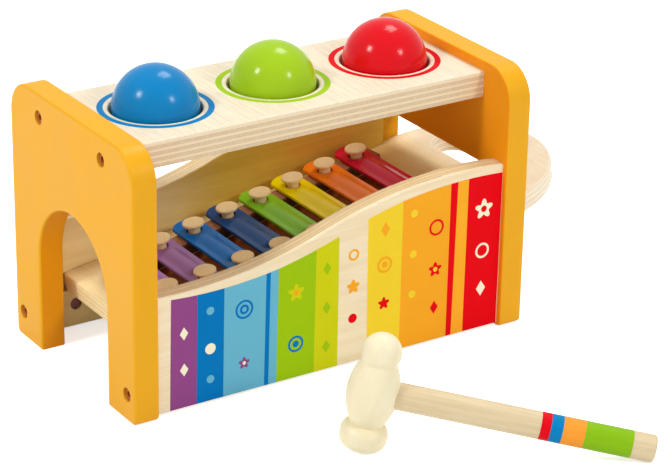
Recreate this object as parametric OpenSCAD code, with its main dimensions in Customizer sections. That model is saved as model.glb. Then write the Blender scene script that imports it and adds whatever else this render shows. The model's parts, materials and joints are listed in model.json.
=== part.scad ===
// Pounding bench for small children: three balls are tapped through rubber rings in the top
// board, fall on a sloping slide-out xylophone and roll out of the arch in the low end.
// A turned mallet lies in front. Millimetres. X runs along the bench, Y from front to back, Z up.
// The modules work in bench places, with zero at the left end panel's outer face, the panels'
// front edges and the floor, and in_set() moves them to the set.

/* [Bench] */
// Length over the two end panels
bench_len = 237.6; // [225:0.2:260]
// Depth of the end panels, front to back
bench_depth = 129; // [122:0.5:136]
// Height of the end panels
bench_h = 145; // [142:0.5:160]
// Thickness of an end panel
end_t = 14; // [12:0.5:16]
// Radius of the end panels' top corners
corner_r = 18; // [8:1:26]
// Radius of the end panels' foot corners
foot_r = 3; // [3:0.5:8]
// Round-over along the end panels' edges
edge_r = 1.25; // [1:0.25:3]
// Width of the arch in the left end panel
arch_w = 73; // [60:0.5:78]
// Height of the arch's straight sides
arch_spring = 54; // [20:1:56]
// Width of the low arch under the tray window in the right end panel
foot_arch_w = 66; // [40:1:74]

/* [Balls and top board] */
// Diameter of a ball
ball_d = 45; // [44.5:0.25:48]
// Distance between ball centres
ball_pitch = 69.4; // [64:0.2:72]
// Air between a ball and its hole
hole_gap = 1.5; // [1:0.1:2]
// Thickness of the top board
board_t = 14.5; // [12:0.5:16]
// Width of the top board
board_w = 82.5; // [76:0.5:92]
// Step from the end panels' tops down to the board
board_drop = 5.5; // [2:0.1:8]
// Round-over along the board's long edges
board_edge_r = 1.5; // [0.5:0.25:3]
// Round-over at the rims of the holes
hole_edge_r = 1; // [0.5:0.25:1.5]
// Thickness of a rubber ring
ring_t = 4.4; // [3.6:0.1:5]
// How far a rubber ring stands out of its hole
ring_stand = 2.6; // [2.2:0.1:3]

/* [Front and back walls] */
// Thickness of a wall
wall_t = 10.5; // [9:0.5:12]
// Step from an end panel's edge in to a wall
wall_recess = 3; // [1:0.5:5]
// Air under the walls
wall_lift = 2; // [0.5:0.25:3]
// Height of the low end of the wave
wave_low = 65.4; // [58:0.1:70]
// Height of the high end of the wave
wave_high = 95.4; // [84:0.1:104]
// Distance from an end panel to the wave's lowest point
wave_start = 12.6; // [6:0.2:16]
// Length of the wave from lowest to highest point
wave_run = 172; // [150:1:182]
// Round-over along the wave
wave_edge_r = 1.5; // [0.75:0.25:2]

/* [Tray] */
// Slope of the tray, in degrees
tray_slope = 9.2; // [7:0.1:10]
// Height of the tray's top at its low end
tray_low = 33.9; // [30:0.1:38]
// Thickness of the tray board
tray_t = 10.9; // [8:0.1:12]
// How far the tray reaches into a groove
tray_tongue = 4; // [3:0.25:5]
// Air between the left end panel and the tray
tray_end_gap = 6.9; // [5:0.1:8]
// How far the handle stands out of the right end panel
handle_reach = 51; // [46:0.5:64]
// Radius of the tray's two low corners
tray_corner_r = 6; // [4:1:14]
// Round-over along the tray's edges
tray_edge_r = 1.5; // [1:0.25:3]
// Room behind the tray's low end in the grooves, besides their running gap
groove_back = 0.4; // [0:0.1:1.5]
// Width of the hand slot
hand_slot_w = 18; // [16:0.5:20]
// Length of the hand slot
hand_slot_len = 71; // [60:1:74]
// Air from the right end panel's outer face to the hand slot
hand_slot_off = 4.7; // [4:0.1:10]
// Depth of the sound trough under the keys
trough_depth = 6; // [4:0.25:6.5]

/* [Keys] */
// Distance between keys along the tray
key_pitch = 21.9; // [20:0.1:22.5]
// First key's middle, from the tray's low end
key_start = 24; // [22:0.5:28]
// Width of a key
key_w = 16.4; // [14:0.2:17.5]
// Thickness of the key's metal
key_t = 2; // [1.6:0.1:2.4]
// Air between the longest key's tip and a wall
key_tip_gap = 2.4; // [1.5:0.1:4]
// How much each end of a key is shorter than its longer neighbour's
key_trim = 1.75; // [1:0.05:2]
// Set-back of a key's corners from its rounded tip
key_tip_rise = 5; // [2:0.25:7]
// Height of the ridge pressed along a key
ridge_h = 2; // [1:0.1:2.4]
// Width of the ridge at its foot
ridge_w = 9; // [6:0.25:10]
// Distance from a peg to a key's tip
peg_inset = 14.5; // [13:0.25:17]
// Diameter of a peg's stem
peg_d = 6.4; // [5.5:0.1:7]
// Diameter of a peg's head
peg_head_d = 12; // [10.5:0.25:13]
// Thickness of a peg's head
peg_head_t = 2.2; // [1.6:0.1:3]
// Rise of a peg's domed top
peg_dome = 0.4; // [0.2:0.1:0.8]
// Air between a key and a peg's head
peg_show = 3.2; // [2:0.1:4.5]
// Height of the cone under a peg's head
peg_cone_h = 1.6; // [1:0.1:1.9]
// Width of a rail under the keys
rail_w = 11; // [9.5:0.5:13]
// Height of a rail
rail_h = 6.2; // [5:0.1:8]
// Thickness of the felt on a rail
felt_t = 1.2; // [0.8:0.1:2]

/* [Fixings] */
// Diameter of a bolt
bolt_d = 4; // [3.5:0.25:5]
// Diameter of a bolt's head
bolt_head_d = 7; // [6.5:0.25:8]
// Depth of the bolt head under the panel's face
bolt_sink = 1.2; // [0.6:0.1:2]
// Thickness of a bolt's head
bolt_head_t = 2.6; // [2:0.1:3.5]
// Distance from the board's edge to an upper bolt
upper_bolt_in = 8.25; // [7:0.25:12]
// Height of the lower bolts
lower_bolt_z = 14.6; // [11:0.2:16]
// Distance from an end panel to a barrel nut
nut_off = 14.5; // [12:0.5:16]
// Diameter of a barrel nut
nut_d = 7; // [6:0.25:7.5]
// Length of a barrel nut
nut_len = 8; // [7:0.25:8.5]
// Diameter of a dowel
dowel_d = 5; // [4:0.25:6]
// Depth of a dowel in each piece
dowel_depth = 8; // [6:0.5:9]

/* [Mallet] */
// Place of the mallet's foot along the bench
mallet_x = 84.6; // [70:0.2:110]
// Distance of the mallet's foot in front of the bench
mallet_front = 75; // [60:1:100]
// Turn of the mallet's handle towards the front, in degrees
mallet_turn = 36.6; // [20:0.2:50]
// Diameter of the mallet's foot
mallet_foot_d = 24; // [21:0.5:27]
// Height of the mallet's foot
mallet_foot_h = 13; // [11.5:0.5:15]
// Round-over of the mallet's foot
mallet_foot_r = 5; // [3:0.25:5.5]
// Diameter of the mallet's barrel
barrel_d = 26.2; // [24:0.2:29]
// Diameter of the mallet's necks
neck_d = 16; // [14:0.25:17.5]
// Height of the barrel between the necks
barrel_h = 35; // [31:0.5:37]
// Diameter of the ball on top of the mallet
mallet_ball_d = 19.8; // [18.6:0.2:22]
// Height of the ball's middle over the upper neck
mallet_ball_rise = 4; // [3:0.25:6.5]
// Diameter of the handle
handle_d = 13.8; // [12:0.2:15]
// Length of the handle from the barrel's axis
handle_len = 140.4; // [120:0.2:170]
// Depth of the handle past the barrel's axis
handle_seat = 5; // [3:0.5:7]
// Round-over at the end of the handle
handle_end_r = 1.5; // [0.8:0.1:3]

/* [Hidden] */
$fn = 64;

// Clearances and overruns
over = 1;
snug = 0.05;
run_gap = 0.3;
tongue_gap = 0.5;
key_slack = 0.9;
bolt_slack = 0.25;
sink_slack = 0.3;
nut_slack = 0.1;
fit_gap = 0.4;

// Derived places of the bench
mid_x = bench_len / 2;
mid_y = bench_depth / 2;
in_left = end_t;
in_right = bench_len - end_t;
in_len = in_right - in_left;
wall_in = wall_recess + wall_t;
in_w = bench_depth - 2 * wall_in;
wall_mid = wall_recess + wall_t / 2;
front_share = -1;
back_share = 1;
arch_r = arch_w / 2;
foot_arch_r = foot_arch_w / 2;

// Derived places of the balls and the board
board_top = bench_h - board_drop;
board_low = board_top - board_t;
board_front = mid_y - board_w / 2;
ball_r = ball_d / 2;
hole_r = ball_r + hole_gap;
ring_r = ring_t / 2;
ring_mid_r = hole_r - ring_stand + ring_r;
ball_seat = ball_r + ring_r + run_gap;
ring_drop = sqrt(pow(ball_seat, 2) - pow(ring_mid_r, 2));
ring_z = board_top - ring_drop;
ball_place_shares = [-1, 0, 1];

// Derived places of the walls
wave_rise = wave_high - wave_low;
wave_r = (pow(wave_run, 2) + pow(wave_rise, 2)) / (4 * wave_rise);
wave_low_x = in_left + wave_start;
wave_mid_x = wave_low_x + wave_run / 2;
wave_high_x = wave_low_x + wave_run;
wave_turn = asin(wave_run / 2 / wave_r);
wave_low_turn = asin((wave_start + over) / wave_r);
wave_high_turn = asin((in_right - wave_high_x + over) / wave_r);
wave_border_w = 4 * wave_edge_r;
wall_top = wave_high;

// Derived places of the tray, and of a point of its top surface above a place on X
tray_x = in_left + tray_end_gap;
tray_w = in_w + 2 * tray_tongue;
tray_r = tray_w / 2;
tray_len = (bench_len + handle_reach - tray_x) / cos(tray_slope);
function tray_top(x) = tray_low + (x - tray_x) * tan(tray_slope);
groove_w = tray_t + 2 * run_gap;
slot_r = hand_slot_w / 2;
slot_mid = (bench_len + hand_slot_off - tray_x) / cos(tray_slope) + hand_slot_w / 2;

// Derived sizes of the keys, which grow towards the high end
key_count = 8;
last_key = key_count - 1;
long_half = in_w / 2 - key_tip_gap;
function key_half(k) = long_half - (last_key - k) * key_trim;
function key_place(k) = key_start + k * key_pitch;
function peg_row(k) = key_half(k) - peg_inset;
function row_at(u) = peg_row(0) + (u - key_start) * key_trim / key_pitch;
row_turn = atan(key_trim / key_pitch);
trough_inset = rail_w / 2 + fit_gap;
key_low = rail_h + felt_t;
key_top = key_low + key_t;
tip_r = (pow(key_w / 2, 2) + pow(key_tip_rise, 2)) / (2 * key_tip_rise);
ridge_r = (pow(ridge_w / 2, 2) + pow(ridge_h, 2)) / (2 * ridge_h);
ridge_stop = peg_head_d / 2 + ridge_w / 2 + fit_gap;
peg_hole_d = peg_d + 2 * key_slack;
peg_root = trough_depth - over;
head_low = key_top + peg_show;
peg_top = head_low + peg_head_t;
peg_dome_r = (pow(peg_head_d / 2, 2) + pow(peg_dome, 2)) / (2 * peg_dome);
peg_cone_r = (peg_d + peg_head_d) / 4;
rail_over = peg_head_d;
rail_len = (last_key * key_pitch) / cos(row_turn) + 2 * rail_over;

// Derived sizes of the tray window in the right end panel
window_gap = 0.75;
window_below = 8;
window_above = 4;
window_r = 8;
window_w = tray_w + 2 * window_gap;
window_low = tray_top(in_right) - tray_t / cos(tray_slope) - window_below;
window_high = tray_top(bench_len) + peg_top / cos(tray_slope) + window_above;

// Derived places of the fixings
upper_bolt_z = board_top - board_t / 2;
bolt_len = end_t - bolt_sink - bolt_head_t + nut_off + nut_d / 2;
nut_over = (nut_len + nut_slack) / 2;
socket_d = bolt_head_d / 2;
socket_depth = bolt_head_t / 2;
left_dowel_z = (tray_top(in_left) + wave_low) / 2;
right_dowel_z = (lower_bolt_z + window_low) / 2;

// Places of the bolts and dowels on an end panel, as depth and height
upper_bolt_run = board_w / 2 - upper_bolt_in;
upper_bolt_places = [for (s = [front_share, back_share]) [mid_y + s * upper_bolt_run, upper_bolt_z]];
lower_bolt_places = [[wall_mid, lower_bolt_z], [bench_depth - wall_mid, lower_bolt_z]];
bolt_places = concat(upper_bolt_places, lower_bolt_places);
function dowel_places(z) = [[mid_y, upper_bolt_z], [wall_mid, z], [bench_depth - wall_mid, z]];

// Derived places on the mallet: heights along its head, and the tilt that sets foot and handle on the floor
barrel_low = mallet_foot_h;
barrel_mid = barrel_low + barrel_h / 2;
barrel_high = barrel_low + barrel_h;
barrel_drop = (barrel_d - neck_d) / 2;
barrel_arc_r = (pow(barrel_h / 2, 2) + pow(barrel_drop, 2)) / (2 * barrel_drop);
mallet_ball_r = mallet_ball_d / 2;
mallet_ball_z = barrel_high + mallet_ball_rise;
handle_r = handle_d / 2;
foot_roll_r = mallet_foot_d / 2 - mallet_foot_r;
tilt_run = handle_len - handle_end_r - foot_roll_r;
tilt_rise = barrel_mid - handle_r + handle_end_r - mallet_foot_r;
tilt_reach = sqrt(pow(tilt_run, 2) + pow(tilt_rise, 2));
mallet_tilt = atan2(tilt_rise, tilt_run) + asin((mallet_foot_r - handle_end_r) / tilt_reach);
mallet_lift = mallet_foot_r + foot_roll_r * sin(mallet_tilt) - mallet_foot_r * cos(mallet_tilt);
handle_fall = cos(mallet_tilt) * sin(mallet_turn);
end_roll_len = handle_len - handle_end_r;
end_roll_r = handle_r - handle_end_r;
mallet_reach = (end_roll_len * cos(mallet_tilt) + barrel_mid * sin(mallet_tilt)) * sin(mallet_turn)
    + end_roll_r * sqrt(1 - pow(handle_fall, 2)) + handle_end_r;

// Middle of the whole set's footprint on the floor
set_right = tray_x + (tray_len - tray_edge_r) * cos(tray_slope)
    + (tray_t - tray_edge_r) * sin(tray_slope) + tray_edge_r;
set_mid_x = set_right / 2;
set_mid_y = (bench_depth - mallet_front - mallet_reach) / 2;

// Colours, as the photograph shows them
paint = [0.98, 0.70, 0.22];
birch = [0.93, 0.84, 0.68];
beech = [0.90, 0.76, 0.55];
cream = [0.95, 0.90, 0.76];
steel = [0.72, 0.72, 0.72];
rubber = [0.12, 0.12, 0.13];
felt = [0.45, 0.16, 0.14];

module in_set() {
    translate([-set_mid_x, -set_mid_y, 0])
        children();
}

// An outline drawn in depth and height, given a thickness along the bench
module across_bench(x) {
    translate([x, 0, 0])
        rotate([90, 0, 90])
            children();
}

// The tray's own place: zero at the top of its low end on the middle line, running up the slope
module on_tray() {
    translate([tray_x, mid_y, tray_low])
        rotate([0, -tray_slope, 0])
            children();
}

// The mallet's own place: zero under its foot, the handle along X
module at_mallet() {
    translate([mallet_x, -mallet_front, mallet_lift])
        rotate([0, 0, -mallet_turn])
            rotate([0, mallet_tilt, 0])
                children();
}

// A quarter turn of a section about the middle of a corner
module around_corner(x, y, turn) {
    translate([x, y, 0])
        rotate([0, 0, turn])
            rotate_extrude(angle = 90)
                children();
}

// A section drawn out along an edge, which starts at a place and has its outer side towards turn
module along_edge(x, y, run, turn) {
    if (run > 0)
        translate([x, y, 0])
            rotate([0, 0, turn])
                rotate([90, 0, 0])
                    linear_extrude(height = run)
                        children();
}

// Section of a slab's border, with a round-over at both faces of its outer edge
module soft_section(w, t, e) {
    intersection() {
        union() {
            square([w - e, t]);
            translate([0, e])
                square([w, t - 2 * e]);
            for (z = [e, t - e])
                translate([w - e, z])
                    circle(r = e);
        }
        square([w, t]);
    }
}

// Slab with softened edges: w wide, h high, with one radius at its low and one at its high corners
module soft_slab(w, h, low_r, high_r, t, e) {
    strip_w = min(low_r, high_r);
    rise = h - low_r - high_r;
    for (flip = [0, 1])
        translate([flip * w, 0, 0])
            mirror([flip, 0, 0]) {
                around_corner(low_r, low_r, 180)
                    soft_section(low_r, t, e);
                around_corner(high_r, h - high_r, 90)
                    soft_section(high_r, t, e);
                along_edge(strip_w, low_r, rise, 180)
                    soft_section(strip_w, t, e);
            }
    along_edge(w - low_r, low_r, w - 2 * low_r, 270)
        soft_section(low_r, t, e);
    along_edge(high_r, h - high_r, w - 2 * high_r, 90)
        soft_section(high_r, t, e);
    translate([strip_w, low_r, 0])
        cube([w - 2 * strip_w, rise, t]);
}

// Section of a cut's border: the cut widens by the round-over at both faces of the slab
module cut_section(w, t, e) {
    translate([0, -over])
        square([w, t + 2 * over]);
    for (face = [0, 1])
        difference() {
            translate([w - snug, face * (t - e) - (1 - face) * over])
                square([e + snug, e + over]);
            translate([w + e, face * (t - 2 * e) + e])
                circle(r = e);
        }
}

// Cut with softened edges. Without a radius at its low corners it is open below
module soft_cut(w, h, low_r, high_r, t, e) {
    closed = low_r > 0;
    strip_w = closed ? min(low_r, high_r) : high_r;
    low = closed ? low_r : -over;
    rise = h - high_r - low;
    for (flip = [0, 1])
        translate([flip * w, 0, 0])
            mirror([flip, 0, 0]) {
                if (closed)
                    around_corner(low_r, low_r, 180)
                        cut_section(low_r, t, e);
                around_corner(high_r, h - high_r, 90)
                    cut_section(high_r, t, e);
                along_edge(strip_w, low, rise, 180)
                    cut_section(strip_w, t, e);
            }
    if (closed)
        along_edge(w - low_r, low_r, w - 2 * low_r, 270)
            cut_section(low_r, t, e);
    along_edge(high_r, h - high_r, w - 2 * high_r, 90)
        cut_section(high_r, t, e);
    if (w > 2 * strip_w)
        translate([strip_w, low, -over])
            cube([w - 2 * strip_w, rise, t + 2 * over]);
}

// One step hole for a bolt and its head, entered from an end panel's outer face
module bolt_hole(y, z) {
    translate([0, y, z])
        rotate([0, 90, 0]) {
            translate([0, 0, -over])
                cylinder(d = bolt_head_d + 2 * sink_slack, h = bolt_sink + bolt_head_t + over);
            cylinder(d = bolt_d + 2 * bolt_slack, h = end_t + over);
        }
}

// Holes that a left end panel has for its bolts and dowels
module fixing_holes(dowel_z) {
    for (p = bolt_places)
        bolt_hole(p[0], p[1]);
    for (p = dowel_places(dowel_z))
        translate([end_t - dowel_depth, p[0], p[1]])
            rotate([0, 90, 0])
                cylinder(d = dowel_d + 2 * snug, h = dowel_depth + over);
}

// The right end's fixings are the left end's, mirrored in the middle of the bench
module at_right() {
    translate([bench_len, 0, 0])
        mirror([1, 0, 0])
            children();
}

module end_panel() {
    soft_slab(bench_depth, bench_h, foot_r, corner_r, end_t, edge_r);
}

// Low end: the balls roll out of its arch
module end_panel_left() {
    in_set()
        color(paint)
            difference() {
                across_bench(0)
                    end_panel();
                across_bench(0)
                    translate([mid_y - arch_r, 0, 0])
                        soft_cut(arch_w, arch_spring + arch_r, 0, arch_r, end_t, edge_r);
                fixing_holes(left_dowel_z);
            }
}

// High end: the tray slides out through its window, over a low arch between the feet
module end_panel_right() {
    in_set()
        color(paint)
            difference() {
                across_bench(in_right)
                    end_panel();
                across_bench(in_right)
                    translate([mid_y - foot_arch_r, 0, 0])
                        soft_cut(foot_arch_w, foot_arch_r, 0, foot_arch_r, end_t, edge_r);
                across_bench(in_right)
                    translate([mid_y - window_w / 2, window_low, 0])
                        soft_cut(window_w, window_high - window_low, window_r, window_r, end_t, edge_r);
                at_right()
                    fixing_holes(right_dowel_z);
            }
}

// Board with three ringed holes, softened along its long edges
module top_board() {
    in_set()
        color(birch)
            difference() {
                translate([in_left, board_front, board_low])
                    rotate([90, 0, 90])
                        linear_extrude(height = in_len)
                            board_section();
                for (s = ball_place_shares)
                    translate([mid_x + s * ball_pitch, mid_y, 0]) {
                        translate([0, 0, board_low])
                            rotate_extrude()
                                cut_section(hole_r, board_t, hole_edge_r);
                        translate([0, 0, ring_z])
                            ring(snug);
                    }
                board_fixings();
                at_right()
                    board_fixings();
            }
}

module board_section() {
    r = board_edge_r;
    for (y = [r, board_w - r])
        for (z = [r, board_t - r])
            translate([y, z])
                circle(r = r);
    translate([r, 0])
        square([board_w - 2 * r, board_t]);
    translate([0, r])
        square([board_w, board_t - 2 * r]);
}

// Bolt, nut and dowel holes at the board's left end
module board_fixings() {
    for (p = upper_bolt_places) {
        shank_hole(p[0], p[1]);
        translate([in_left + nut_off, p[0], board_low - over])
            cylinder(d = nut_d + 2 * nut_slack, h = board_t / 2 + nut_over + over);
    }
    dowel_hole(mid_y, upper_bolt_z);
}

module shank_hole(y, z) {
    translate([in_left - over, y, z])
        rotate([0, 90, 0])
            cylinder(d = bolt_d + 2 * bolt_slack, h = nut_off + nut_d + over);
}

module dowel_hole(y, z) {
    translate([in_left - over, y, z])
        rotate([0, 90, 0])
            cylinder(d = dowel_d + 2 * snug, h = dowel_depth + over);
}

// Rubber ring, or with some extra the groove that it sits in
module ring(extra) {
    rotate_extrude()
        translate([ring_mid_r, 0])
            circle(r = ring_r + extra);
}

module ball_ring(share) {
    in_set()
        color(rubber)
            translate([mid_x + share * ball_pitch, mid_y, ring_z])
                ring(0);
}

module ball_ring_left() {
    ball_ring(ball_place_shares[0]);
}

module ball_ring_middle() {
    ball_ring(ball_place_shares[1]);
}

module ball_ring_right() {
    ball_ring(ball_place_shares[2]);
}

module ball(share) {
    in_set()
        translate([mid_x + share * ball_pitch, mid_y, board_top])
            sphere(d = ball_d);
}

module ball_blue() {
    color([0.00, 0.51, 0.77])
        ball(ball_place_shares[0]);
}

module ball_green() {
    color([0.61, 0.79, 0.08])
        ball(ball_place_shares[1]);
}

module ball_red() {
    color([0.88, 0.04, 0.10])
        ball(ball_place_shares[2]);
}

// Wall outline in length and height: two like arcs make the wave, which can be drawn a little lower
module wave_outline(sink) {
    difference() {
        translate([in_left, wall_lift])
            square([wave_mid_x - in_left, wall_top - wall_lift]);
        translate([wave_low_x, wave_low + wave_r])
            circle(r = wave_r + sink);
    }
    intersection() {
        translate([wave_mid_x, wall_lift])
            square([in_right - wave_mid_x, wall_top - wall_lift]);
        translate([wave_high_x, wave_high - wave_r])
            circle(r = wave_r - sink);
    }
}

// Softened border along the hollow arc and along the crown arc of the wave
module wave_borders() {
    translate([wave_low_x, wave_low + wave_r, 0])
        rotate([0, 0, 270 - wave_low_turn])
            rotate_extrude(angle = wave_low_turn + wave_turn)
                translate([wave_r + wave_border_w, 0])
                    mirror([1, 0])
                        soft_section(wave_border_w, wall_t, wave_edge_r);
    translate([wave_high_x, wave_high - wave_r, 0])
        rotate([0, 0, 90 - wave_high_turn])
            rotate_extrude(angle = wave_high_turn + wave_turn)
                translate([wave_r - wave_border_w, 0])
                    soft_section(wave_border_w, wall_t, wave_edge_r);
}

// Wall board lying flat, with its wave along the top
module wall_board() {
    linear_extrude(height = wall_t)
        wave_outline(wave_border_w / 2);
    intersection() {
        wave_borders();
        translate([in_left, wall_lift, 0])
            cube([in_len, wall_top - wall_lift, wall_t]);
    }
}

// Space that the tray slides in: it cuts a groove in each wall
module tray_groove() {
    on_tray()
        translate([0, -tray_r - tongue_gap, 0])
            rotate([-90, 0, 0])
                linear_extrude(height = tray_w + 2 * tongue_gap)
                    groove_outline();
}

// Its round end follows the round-over of the tray's low end
module groove_outline() {
    r = groove_w / 2;
    translate([tray_edge_r - groove_back, tray_t / 2])
        circle(r = r);
    translate([tray_edge_r - groove_back, tray_t / 2 - r])
        square([tray_len, groove_w]);
}

module front_wall() {
    in_set()
        color(birch)
            wall(wall_recess, front_share);
}

module back_wall() {
    in_set()
        color(birch)
            wall(bench_depth - wall_in, back_share);
}

// Wall from the place of its front face. Its inner face looks away from side
module wall(front_y, side) {
    difference() {
        translate([0, front_y + wall_t, 0])
            rotate([90, 0, 0])
                wall_board();
        tray_groove();
        translate([0, front_y + wall_t / 2, 0]) {
            wall_fixings(side, left_dowel_z);
            at_right()
                wall_fixings(side, right_dowel_z);
        }
    }
}

// Bolt, nut and dowel holes at a wall's left end, from the wall's middle plane
module wall_fixings(side, dowel_z) {
    shank_hole(0, lower_bolt_z);
    dowel_hole(0, dowel_z);
    translate([in_left + nut_off, 0, lower_bolt_z])
        rotate([-90 * side, 0, 0])
            translate([0, 0, -wall_t / 2 - over])
                cylinder(d = nut_d + 2 * nut_slack, h = wall_t / 2 + nut_over + over);
}

// Sound trough between the rails, which widens with the keys
module trough_outline() {
    left = key_place(0) - key_w / 2;
    right = key_place(last_key) + key_w / 2;
    near = row_at(left) - trough_inset;
    far = row_at(right) - trough_inset;
    polygon([[left, -near], [right, -far], [right, far], [left, near]]);
}

module tray_board() {
    in_set()
        color(birch)
            on_tray()
                difference() {
                    translate([0, tray_r, -tray_t])
                        rotate([0, 0, -90])
                            soft_slab(tray_w, tray_len, tray_corner_r, tray_r, tray_t, tray_edge_r);
                    translate([slot_mid - hand_slot_w / 2, -hand_slot_len / 2, -tray_t])
                        soft_cut(hand_slot_w, hand_slot_len, slot_r, slot_r, tray_t, tray_edge_r);
                    translate([0, 0, -trough_depth])
                        linear_extrude(height = trough_depth + over)
                            trough_outline();
                    pegs_of_row(front_share, true);
                    pegs_of_row(back_share, true);
                }
}

// A strip along a row of pegs, from one height above the tray to another
module row_strip(side, low, high, w) {
    translate([key_place(0), side * peg_row(0), low])
        rotate([0, 0, side * row_turn])
            translate([-rail_over, -w / 2, 0])
                cube([rail_len, w, high - low]);
}

// Rail with the holes of its own row of pegs
module key_rail(side) {
    in_set()
        color(beech)
            on_tray()
                difference() {
                    row_strip(side, 0, rail_h, rail_w);
                    pegs_of_row(side, true);
                }
}

module key_rail_front() {
    key_rail(front_share);
}

module key_rail_rear() {
    key_rail(back_share);
}

module felt_strip(side) {
    in_set()
        color(felt)
            on_tray()
                difference() {
                    row_strip(side, rail_h, key_low, rail_w);
                    pegs_of_row(side, true);
                }
}

module felt_strip_front() {
    felt_strip(front_share);
}

module felt_strip_rear() {
    felt_strip(back_share);
}

// Key outline: a bar with rounded tips and a hole for each peg
module key_outline(k) {
    half = key_half(k);
    difference() {
        intersection() {
            translate([-key_w / 2, -half])
                square([key_w, 2 * half]);
            translate([0, tip_r - half])
                tip_limit(half);
            translate([0, half - tip_r])
                mirror([0, 1])
                    tip_limit(half);
        }
        for (side = [front_share, back_share])
            translate([0, side * peg_row(k)])
                circle(d = peg_hole_d);
    }
}

// Round tip at the low end of a key, open towards the other end
module tip_limit(half) {
    circle(r = tip_r);
    translate([-tip_r, 0])
        square([2 * tip_r, 2 * half]);
}

// Long bubble with round ends: the ridge pressed up in a key, or with less radius its hollow underside
module ridge(k, r) {
    run = peg_row(k) - ridge_stop;
    sink = key_top + ridge_h - ridge_r;
    translate([0, 0, sink]) {
        rotate([90, 0, 0])
            cylinder(r = r, h = 2 * run, center = true);
        for (side = [front_share, back_share])
            translate([0, side * run, 0])
                sphere(r = r);
    }
}

module key(k, tone) {
    in_set()
        color(tone)
            on_tray()
                translate([key_place(k), 0, 0])
                    difference() {
                        union() {
                            translate([0, 0, key_low])
                                linear_extrude(height = key_t)
                                    key_outline(k);
                            intersection() {
                                ridge(k, ridge_r);
                                translate([-key_w / 2, -key_half(k), key_low + key_t / 2])
                                    cube([key_w, 2 * key_half(k), ridge_h + key_t]);
                            }
                        }
                        ridge(k, ridge_r - key_t);
                    }
}

module key_lilac() {
    key(0, [0.66, 0.47, 0.70]);
}

module key_purple() {
    key(1, [0.50, 0.28, 0.50]);
}

module key_azure() {
    key(2, [0.02, 0.38, 0.62]);
}

module key_blue() {
    key(3, [0.15, 0.27, 0.47]);
}

module key_green() {
    key(4, [0.36, 0.62, 0.24]);
}

module key_yellow() {
    key(5, [0.80, 0.68, 0.05]);
}

module key_orange() {
    key(6, [0.80, 0.32, 0.10]);
}

module key_red() {
    key(7, [0.62, 0.04, 0.10]);
}

// One row of wooden pegs, or with socket the holes that they stand in
module pegs_of_row(side, socket) {
    extra = socket ? snug : 0;
    for (k = [0 : last_key])
        translate([key_place(k), side * peg_row(k), 0])
            if (socket)
                translate([0, 0, -peg_root])
                    cylinder(r = peg_d / 2 + extra, h = peg_root + key_low + over);
            else
                peg();
}

// Mushroom peg: a turned stem, a cone under the head and a slightly domed top
module peg() {
    r = peg_head_d / 2;
    rim = peg_head_t / 2;
    rotate_extrude()
        intersection() {
            union() {
                translate([0, -peg_root])
                    square([peg_d / 2, head_low + peg_root + rim]);
                polygon([[0, head_low - peg_cone_h], [peg_d / 2, head_low - peg_cone_h],
                    [peg_cone_r, head_low], [0, head_low]]);
                translate([0, head_low])
                    square([r - rim, peg_head_t]);
                translate([r - rim, head_low + rim])
                    circle(r = rim);
            }
            translate([0, peg_top - peg_dome_r])
                circle(r = peg_dome_r);
            translate([0, -peg_root])
                square([r, peg_root + peg_top]);
        }
}

module key_pegs_front() {
    in_set()
        color(beech)
            on_tray()
                pegs_of_row(front_share, false);
}

module key_pegs_rear() {
    in_set()
        color(beech)
            on_tray()
                pegs_of_row(back_share, false);
}

// Bolt with a socket in its round head, lying along X from the left
module bolt(y, z) {
    translate([bolt_sink, y, z])
        rotate([0, 90, 0])
            difference() {
                union() {
                    cylinder(d = bolt_head_d, h = bolt_head_t);
                    cylinder(d = bolt_d, h = bolt_head_t + bolt_len);
                }
                translate([0, 0, -over])
                    cylinder(d = socket_d, h = socket_depth + over, $fn = 6);
            }
}

module bolts_left() {
    in_set()
        color(steel)
            for (p = bolt_places)
                bolt(p[0], p[1]);
}

module bolts_right() {
    in_set()
        color(steel)
            at_right()
                for (p = bolt_places)
                    bolt(p[0], p[1]);
}

// Barrel nut standing on Z about its cross hole, which runs along X
module barrel_nut() {
    difference() {
        cylinder(d = nut_d, h = nut_len, center = true);
        rotate([0, 90, 0])
            cylinder(d = bolt_d + 2 * snug, h = 2 * nut_d, center = true);
    }
}

module barrel_nuts() {
    for (p = upper_bolt_places)
        translate([in_left + nut_off, p[0], p[1]])
            barrel_nut();
    for (p = lower_bolt_places)
        translate([in_left + nut_off, p[0], p[1]])
            rotate([90, 0, 0])
                barrel_nut();
}

module barrel_nuts_left() {
    in_set()
        color(steel)
            barrel_nuts();
}

module barrel_nuts_right() {
    in_set()
        color(steel)
            at_right()
                barrel_nuts();
}

module dowels(dowel_z) {
    for (p = dowel_places(dowel_z))
        translate([in_left - dowel_depth + run_gap, p[0], p[1]])
            rotate([0, 90, 0])
                cylinder(d = dowel_d, h = 2 * (dowel_depth - run_gap));
}

module dowels_left() {
    in_set()
        color(beech)
            dowels(left_dowel_z);
}

module dowels_right() {
    in_set()
        color(beech)
            at_right()
                dowels(right_dowel_z);
}

// Right half of the mallet head's section: a soft foot, two necks, the barrel and the ball
module mallet_profile() {
    f = mallet_foot_r;
    intersection() {
        union() {
            square([foot_roll_r, mallet_foot_h]);
            translate([0, f])
                square([mallet_foot_d / 2, mallet_foot_h - 2 * f]);
            for (z = [f, mallet_foot_h - f])
                translate([foot_roll_r, z])
                    circle(r = f);
            translate([barrel_d / 2 - barrel_arc_r, barrel_mid])
                circle(r = barrel_arc_r);
            translate([0, mallet_ball_z])
                circle(r = mallet_ball_r);
        }
        square([barrel_d, mallet_ball_z + mallet_ball_r]);
    }
}

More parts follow.
